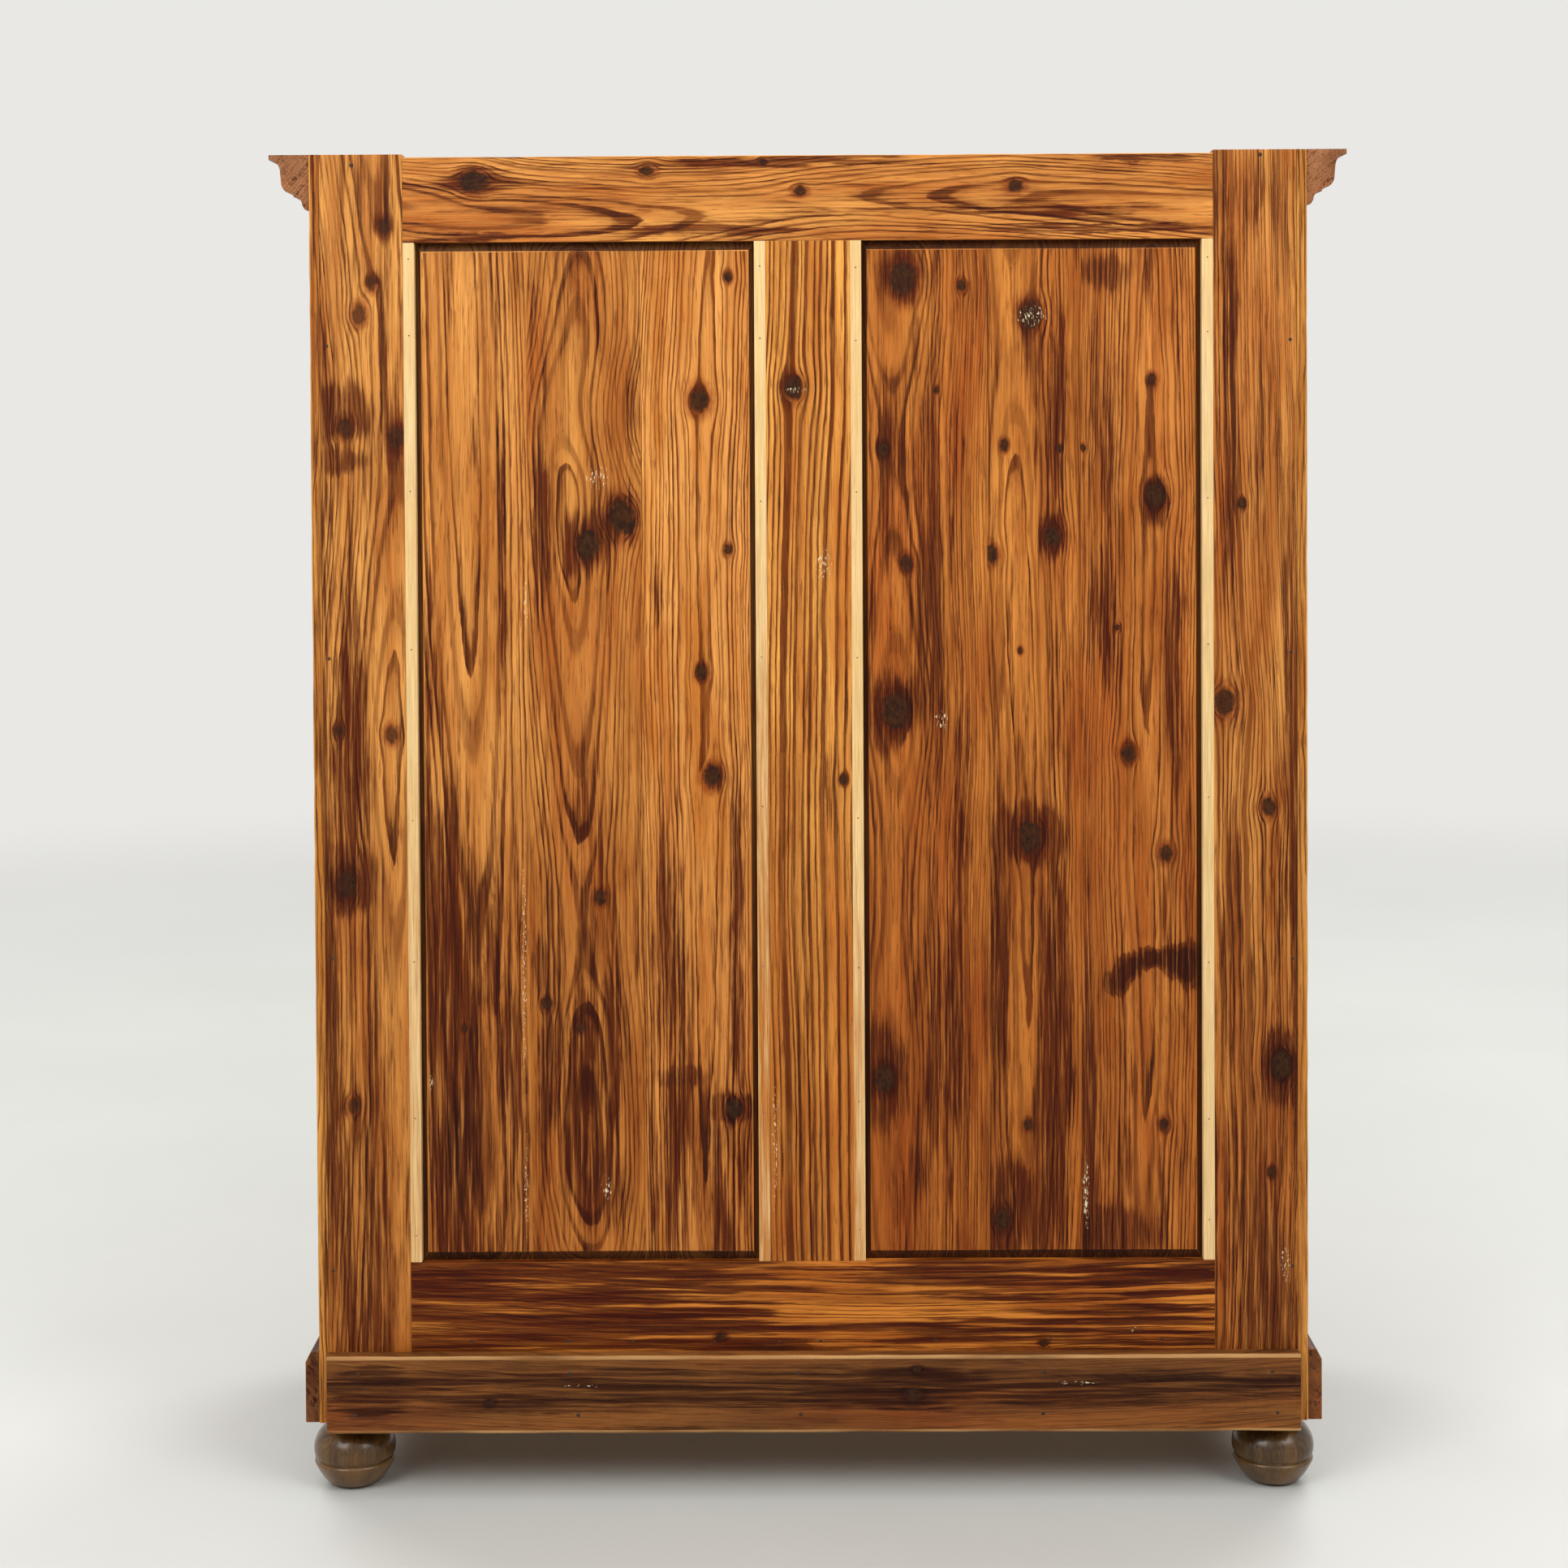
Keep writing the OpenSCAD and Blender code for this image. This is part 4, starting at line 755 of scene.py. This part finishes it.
# The profile from the floor up, (radius, height) in mm: cone, ring, groove, ball, neck and
# spigot
foot_profile = [(0.5, 0), (28.2, 0), (29.4, 0.7), (30.4, 2.4), (36.4, 4.8), (41.5, 10.9),
                (45.6, 16.8), (49.0, 22.8), (50.9, 26.6)] + \
    arc(45.6, 31.4, 7.1, 5.0, -20, 55, 6) + [(49.7, 36.2), (49.2, 37.2), (49.6, 38.2)] + \
    arc(0, 47.5, 53.5, 41.8, -12, 56, 30) + [(29.4, 92.2), (29.4, 95), (12, 95), (12, 129),
                                             (0.5, 129)]
for node in ("front_feet", "rear_feet"):
    low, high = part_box(node)
    reach = (high.y - low.y) / 2
    centres = [(low.x + reach, low.y + reach), (high.x - reach, low.y + reach)]
    verts, faces = together(
        stacked([circle(r / 1000, z / 1000, centre=centre) for r, z in foot_profile])
        for centre in centres)
    data = bpy.data.meshes.new(node + "_turned")
    data.from_pydata(verts, [], faces)
    data.polygons.foreach_set("use_smooth", [True] * len(faces))
    data.set_sharp_from_angle(angle=math.radians(38))
    data.materials.append(turned_pine)
    own_centre = [min(centres, key=lambda c: (c[0] - x) ** 2 + (c[1] - y) ** 2)
                  for x, y, z in verts]
    lay_fibres(data, [((x - near[0]) * 1000, (y - near[1]) * 1000 + 60, z * 1000)
                      for (x, y, z), near in zip(verts, own_centre)],
               [31.7 + centres.index(near) * 2.3 + centres[0][1] * 10 for near in own_centre])
    new_piece(node + "_turned", data, "carcass", node)

# Doors: a pair of frames with stopped chamfers round two fielded panels each. The right
# door carries a rounded bead over the meeting edge.

for door in ("left_door", "right_door"):
    for rail in ("hinge_stile", "meeting_stile"):
        planed(f"{door}_{rail}", "z", "-y", "pine_frame", frame_pine, arris=0.8)
    for rail in ("top_rail", "middle_rail", "bottom_rail"):
        planed(f"{door}_{rail}", "x", "-y", "pine_frame", frame_pine, arris=0.5)
    for panel in ("upper_panel", "lower_panel"):
        # The door panels' sunk margins get only a little painted shade
        planed(f"{door}_{panel}", "z", "-y", "pine_panel", panel_pine, arris=0.4, margin_shade=0.2)
planed("meeting_bead", "z", "-y", "pine_moulding", moulding_pine, arris=0.4)

# Ironwork: forged hinges with turned ends, lock case, bolts and key, blackened long ago
# and browned by fine rust. The eye gets a dull dark metal with pits and rubbed places.


def iron(name, base, rubbed, rust, rough):
    # Forged metal. The eye gets a dull dark skin with rust in patches, pits and rubbed points.
    made = bpy.data.materials.new(name)
    add = blank(made)
    place = add("ShaderNodeTexCoord", out="Object")
    broad = add(noise_3d, {"Vector": place, "Scale": 90.0, "Detail": 4.0})
    fine = add(noise_3d, {"Vector": place, "Scale": 900.0, "Detail": 3.0})
    pits = add("ShaderNodeTexVoronoi", {"Vector": place, "Scale": 700.0}, "Distance")
    tint = paint(base)
    for pattern, start, end, most, hue in ((broad, 0.42, 0.62, 1.0, rust),
                                           (fine, 0.55, 0.75, 0.6, rubbed)):
        fac = add(ranged, {"Value": pattern, "From Min": start, "From Max": end,
                           "To Max": most})
        tint = add(mixed, {"Factor": fac, 6: tint, 7: paint(hue)}, 2, data_type="RGBA")
    dull = add(ranged, {"Value": broad, "From Min": 0.35, "From Max": 0.65,
                        "To Min": rough - 0.1, "To Max": rough + 0.18})
    height = add(math_node, {0: fine, 1: pits}, operation="ADD")
    bump = add("ShaderNodeBump", {"Height": height, "Distance": 0.00025, "Strength": 0.5})
    skin = add("ShaderNodeBsdfPrincipled", {"Base Color": tint, "Roughness": dull,
                                            "Normal": bump, "Metallic": 0.85})
    add("ShaderNodeOutputMaterial", {"Surface": skin}, None)
    return made


black_iron = iron("old forged iron", "#3B342E", "#756C62", "#4E3222", 0.52)
worn_iron = iron("rubbed iron", "#7A736A", "#B5AFA5", "#5E4533", 0.38)
aged_brass = iron("aged brass", "#A9803F", "#D8B56A", "#6B5230", 0.36)
for node, metal in (("hinge_frame_leaves", black_iron), ("hinge_pins", worn_iron),
                    ("left_door_hinge_leaves", black_iron),
                    ("right_door_hinge_leaves", black_iron), ("lock_case", black_iron),
                    ("lock_bolt", worn_iron), ("key", worn_iron), ("bolt_plates", black_iron),
                    ("top_bolt", worn_iron), ("bottom_bolt", worn_iron),
                    ("escutcheon", aged_brass)):
    data = frame["nodes"][node].data
    data.materials.clear()
    data.materials.append(metal)

# Nails and screws: flat forged nails through the back, its plinth board and the plinths,
# small pins in the strips, and slotted screws in the hinges, the lock and the escutcheon.
# Each is turned its own way, as hammer and driver left it.


def nail_head(sides=9):
    # A hammered head with a low dome, of 1 mm radius, to be sized for each nail
    rows = [[(r * (1 + 0.05 * math.sin(2.7 * k)) * math.cos(2 * math.pi * k / sides),
              r * (1 + 0.05 * math.cos(3.1 * k)) * math.sin(2 * math.pi * k / sides), z)
             for k in range(sides)]
            for r, z in ((0.97, -0.10), (1.0, 0.0), (0.86, 0.10), (0.45, 0.155))]
    verts, faces = stacked(rows)
    flat_top = faces.pop()
    verts.append((0.0, 0.0, 0.165))
    faces += [(flat_top[k], flat_top[(k + 1) % sides], len(verts) - 1) for k in range(sides)]
    return verts, faces


def screw_head(steps=12):
    # A flat round head of 1 mm radius: two halves with the slot between them, on a disc
    half_slot, top, low = 0.13, 0.09, -0.06
    start = math.asin(half_slot)
    bow = [start + (math.pi - 2 * start) * k / steps for k in range(steps + 1)]
    halves = [stacked([[(r * math.cos(turn) * side, r * math.sin(turn) * side, z)
                        for turn in bow]
                       for z, r in ((low, 1.0), (top - 0.03, 1.0), (top, 0.94))])
              for side in (1, -1)]
    disc = stacked([circle(0.99, z, 2 * steps) for z in (low - 0.02, low + 0.02)])
    return together(halves + [disc])


# The tree puts one head on every point, square to the point's own direction
fixings, add, given = new_group(
    "fixings", "GeometryNodeTree",
    {"Points": "Geometry", "Head": "Object", "Metal": "Material", "Tilt": "Float",
     "Seed": "Int"}, {"Heads": "Geometry"})
shape = add("GeometryNodeObjectInfo", {"Object": given["Head"]}, "Geometry")
aim, size = [add("GeometryNodeInputNamedAttribute", {"Name": label}, "Attribute",
                 data_type=kind) for label, kind in (("aim", "FLOAT_VECTOR"), ("size", "FLOAT"))]
back = add(math_node, {0: given["Tilt"], 1: -1.0}, operation="MULTIPLY")
least, most = [add("ShaderNodeCombineXYZ", {0: part, 1: part, 2: part})
               for part in (back, given["Tilt"])]
lean = add("FunctionNodeRandomValue", {"Min": least, "Max": most, "Seed": given["Seed"]},
           "Value", data_type="FLOAT_VECTOR")
leaning = add(vector, {0: aim, 1: lean}, operation="ADD")
upright = add("FunctionNodeAlignRotationToVector", {"Vector": leaning}, axis="Z")
spin = add("FunctionNodeRandomValue", {2: 0.0, 3: 2 * math.pi, "Seed": given["Seed"]}, 1,
           data_type="FLOAT")
about = add("FunctionNodeAxisAngleToRotation", {"Axis": (0.0, 0.0, 1.0), "Angle": spin})
set_way = add("FunctionNodeRotateRotation", {"Rotation": upright, "Rotate By": about},
              rotation_space="LOCAL")
stood = add("GeometryNodeInstanceOnPoints", {"Points": given["Points"], "Instance": shape,
                                             "Rotation": set_way, "Scale": size})
real = add("GeometryNodeRealizeInstances", {"Geometry": stood})
clad = add("GeometryNodeSetMaterial", {"Geometry": real, "Material": given["Metal"]})
add("NodeGroupOutput", {"Heads": clad}, None)


def plain_object(name, verts, faces):
    data = bpy.data.meshes.new(name)
    data.from_pydata(verts, [], faces)
    made = bpy.data.objects.new(name, data)
    bpy.context.scene.collection.objects.link(made)
    return made


nail = plain_object("nail_shape", *nail_head())
screw = plain_object("screw_shape", *screw_head())
AIMS = {"+x": (1, 0, 0), "-x": (-1, 0, 0), "+y": (0, 1, 0), "-y": (0, -1, 0)}


def drive(name, body, head, metal, places, tilt, seed):
    # places are (x, y, z, direction, radius) in mm
    base = plain_object(name + "_points", [(x / 1000, y / 1000, z / 1000)
                                           for x, y, z, way, r in places], [])
    flat = [part for place in places for part in AIMS[place[3]]]
    base.data.attributes.new("aim", "FLOAT_VECTOR", "POINT").data.foreach_set("vector", flat)
    base.data.attributes.new("size", "FLOAT", "POINT").data.foreach_set(
        "value", [place[4] / 1000 for place in places])
    live = base.modifiers.new("fixings", "NODES")
    live.node_group = fixings
    settings = {"Head": head, "Metal": metal, "Tilt": tilt, "Seed": seed}
    for item in fixings.interface.items_tree:
        if item.in_out == "INPUT" and item.name in settings:
            live[item.identifier] = settings[item.name]
    ready = base.evaluated_get(bpy.context.evaluated_depsgraph_get())
    data = bpy.data.meshes.new_from_object(ready)
    base.modifiers.remove(live)
    bpy.data.objects.remove(base)
    new_piece(name, data, body)


def corners_mm(node):
    # The low and the high corner of a CAD node
    return [corner * 1000 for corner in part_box(node)]


random.seed(4)
back_y = corners_mm("back_muntin")[1].y
# Heads in the rear plinth board are driven 0.15 mm into its planed face
plinth_y = corners_mm("back_plinth_board")[1].y - plinth_sink * 1000 - 0.15
places = [(589.2, back_y, 1733, "+y", 3.0), (-584.5, back_y, 1740, "+y", 3.0)]
for x in (624.0, -624.0):
    places += [(x + random.uniform(-1.5, 1.5), back_y, z + random.uniform(-8, 8), "+y", 2.4)
               for z in (1506, 1100, 705, 290)]
places += [(x, back_y, 200 + random.uniform(-2, 2), "+y", 2.2)
           for x in (445, 319, 234, 128, 44, -10, -160, -310, -455)]
places += [(x + random.uniform(-6, 6), plinth_y, z, "+y", 2.6)
           for x in (-596, -300, 20, 310, 590) for z in (112, 166)]
low, high = corners_mm("plinth_right")
for side, way in ((-1, "-x"), (1, "+x")):
    places += [(side * high.x, y + random.uniform(-5, 5), z, way, 2.4)
               for y in (-210, -20, 190) for z in (116, 150)]
    places += [(side * 653.8, high.y, 118, "+y", 2.0)]
places += [(x + random.uniform(-5, 5), low.y, z, "-y", 2.4)
           for x in (-600, -250, 250, 600) for z in (116, 150)]
drive("nails", "carcass", nail, black_iron, places, 0.1, 7)
half_strip = 7.5
by_muntin = corners_mm("back_muntin")[1].x + half_strip
by_stile = corners_mm("back_stile_right")[0].x - half_strip
pins = [(x, back_y, z + random.uniform(-14, 14), "+y", 1.1)
        for x in (by_muntin, -by_muntin, by_stile, -by_stile)
        for z in (345, 503, 700, 896, 1100, 1300, 1500, 1605)]
drive("strip_pins", "carcass", nail, worn_iron, pins, 0.1, 8)

# Two screws hold each leaf: the leaf on the post lies below the middle of the hinge, and
# the leaf on the door above it
low, high = corners_mm("right_door_hinge_stile")
hinge_inset, screw_y, door_x = 170, low.y + 12.75, high.x
hinge_zs = (low.z + hinge_inset, high.z - hinge_inset)
post_x = corners_mm("right_front_post")[0].x
frame_screws = [(side * post_x, screw_y, z - step, way, 3.1)
                for side, way in ((-1, "+x"), (1, "-x")) for step in (40.5, 12.5)
                for z in hinge_zs]
drive("frame_hinge_screws", "carcass", screw, worn_iron, frame_screws, 0.0, 9)
door_screws = {body: [(side * door_x, screw_y, z + step, way, 3.1) for step in (12.5, 39.5)
                      for z in hinge_zs]
               for body, side, way in (("left_door", -1, "-x"), ("right_door", 1, "+x"))}
low, high = corners_mm("lock_case")
door_screws["right_door"] += [(x, high.y, z, "+y", 2.6) for x in (low.x + 6.25, high.x - 6.25)
                              for z in (low.z + 7, high.z - 7)]
low, high = corners_mm("escutcheon")
door_screws["right_door"] += [((low.x + high.x) / 2, low.y, z, "-y", 1.5)
                              for z in (low.z + 5, high.z - 5.5)]
for body, places in door_screws.items():
    drive(body + "_screws", body, screw, worn_iron, places, 0.0, 10)
bpy.data.objects.remove(nail)
bpy.data.objects.remove(screw)

# Studio: the camera stands behind the cupboard where the photographer stood, on a plain
# pale floor under broad soft lamps.

eye, yaw, pitch, roll = Vector((0.0115, 3.67575, 1.3835)), 0.3438, -1.1815, -0.3027
lens = bpy.data.cameras.new("camera")
lens.lens = 60.309
lens.sensor_width = 36.0
lens.sensor_fit = "HORIZONTAL"
lens.shift_y = -0.18898
camera = bpy.data.objects.new("camera", lens)
stance = Matrix.Translation(eye)
for degrees, axis in ((180 + yaw, "Z"), (90 + pitch, "X"), (roll, "Z")):
    stance @= Matrix.Rotation(math.radians(degrees), 4, axis)
camera.matrix_world = stance
bpy.context.scene.collection.objects.link(camera)
bpy.context.scene.camera = camera

BACKDROP = "#E9E8E5"


def seen_straight(add):
    # 1 for what the camera sees itself, in a polished face or through glass
    ray = add("ShaderNodeLightPath", out=None).outputs
    seen = ray["Is Camera Ray"]
    for other in ("Is Transmission Ray", "Is Glossy Ray"):
        seen = add(math_node, {0: seen, 1: ray[other]}, operation="MAXIMUM")
    return seen


sky = bpy.data.worlds.new("studio")
bpy.context.scene.world = sky
add = blank(sky)
seen = seen_straight(add)
soft = add("ShaderNodeBackground", {"Color": paint("#F4F2EE"), "Strength": 0.26})
shown = add("ShaderNodeBackground", {"Color": paint(BACKDROP), "Strength": 1.0})
both = add("ShaderNodeMixShader", {0: seen, 1: soft, 2: shown})
add("ShaderNodeOutputWorld", {"Surface": both}, None)

# The floor is pale concrete that fades into the backdrop far out
floor_reach = 14.0
floor = plain_object("floor", [(x * floor_reach, y * floor_reach, 0)
                               for x, y in ((-1, -1), (1, -1), (1, 1), (-1, 1))],
                     [(0, 1, 2, 3)])
floor_paint = bpy.data.materials.new("pale concrete floor")
add = blank(floor_paint)
place = add("ShaderNodeTexCoord", out="Object")
mottle = add(noise_3d, {"Vector": place, "Scale": 1.6, "Detail": 6.0})
grey = add(mixed, {"Factor": mottle, 6: paint("#BFC0BB"), 7: paint("#CBCCC8")}, 2,
           data_type="RGBA")
plain = add("ShaderNodeBsdfPrincipled", {"Base Color": grey, "Roughness": 0.55})
far = add(vector, {0: place}, "Value", operation="LENGTH")
far = add(ranged, {"Value": far, "From Min": 2.2, "From Max": 6.5},
          interpolation_type="SMOOTHSTEP")
far = add(math_node, {0: far, 1: seen_straight(add)}, operation="MULTIPLY")
glow = add("ShaderNodeEmission", {"Color": paint(BACKDROP), "Strength": 1.0})
sweep = add("ShaderNodeMixShader", {0: far, 1: plain, 2: glow})
add("ShaderNodeOutputMaterial", {"Surface": sweep}, None)
floor.data.materials.append(floor_paint)

for name, place, size, power in (
        ("window left", (2.8, 3.9, 3.7), 2.6, 142), ("window right", (-3.2, 3.4, 3.8), 2.6, 118),
        ("ceiling", (0.0, 0.8, 4.4), 4.0, 112), ("front left", (-2.8, -3.8, 3.4), 2.6, 132),
        ("front right", (3.2, -3.4, 3.4), 2.6, 112)):
    lamp_data = bpy.data.lights.new(name, "AREA")
    lamp_data.shape = "SQUARE"
    lamp_data.size = size
    lamp_data.energy = power
    lamp = bpy.data.objects.new(name, lamp_data)
    spot = Vector(place)
    aim = Vector((0.0, 0.0, 0.9)) - spot
    lamp.matrix_world = Matrix.Translation(spot) @ aim.to_track_quat("-Z", "Y").to_matrix().to_4x4()
    bpy.context.scene.collection.objects.link(lamp)

bpy.context.scene.view_settings.view_transform = "Standard"
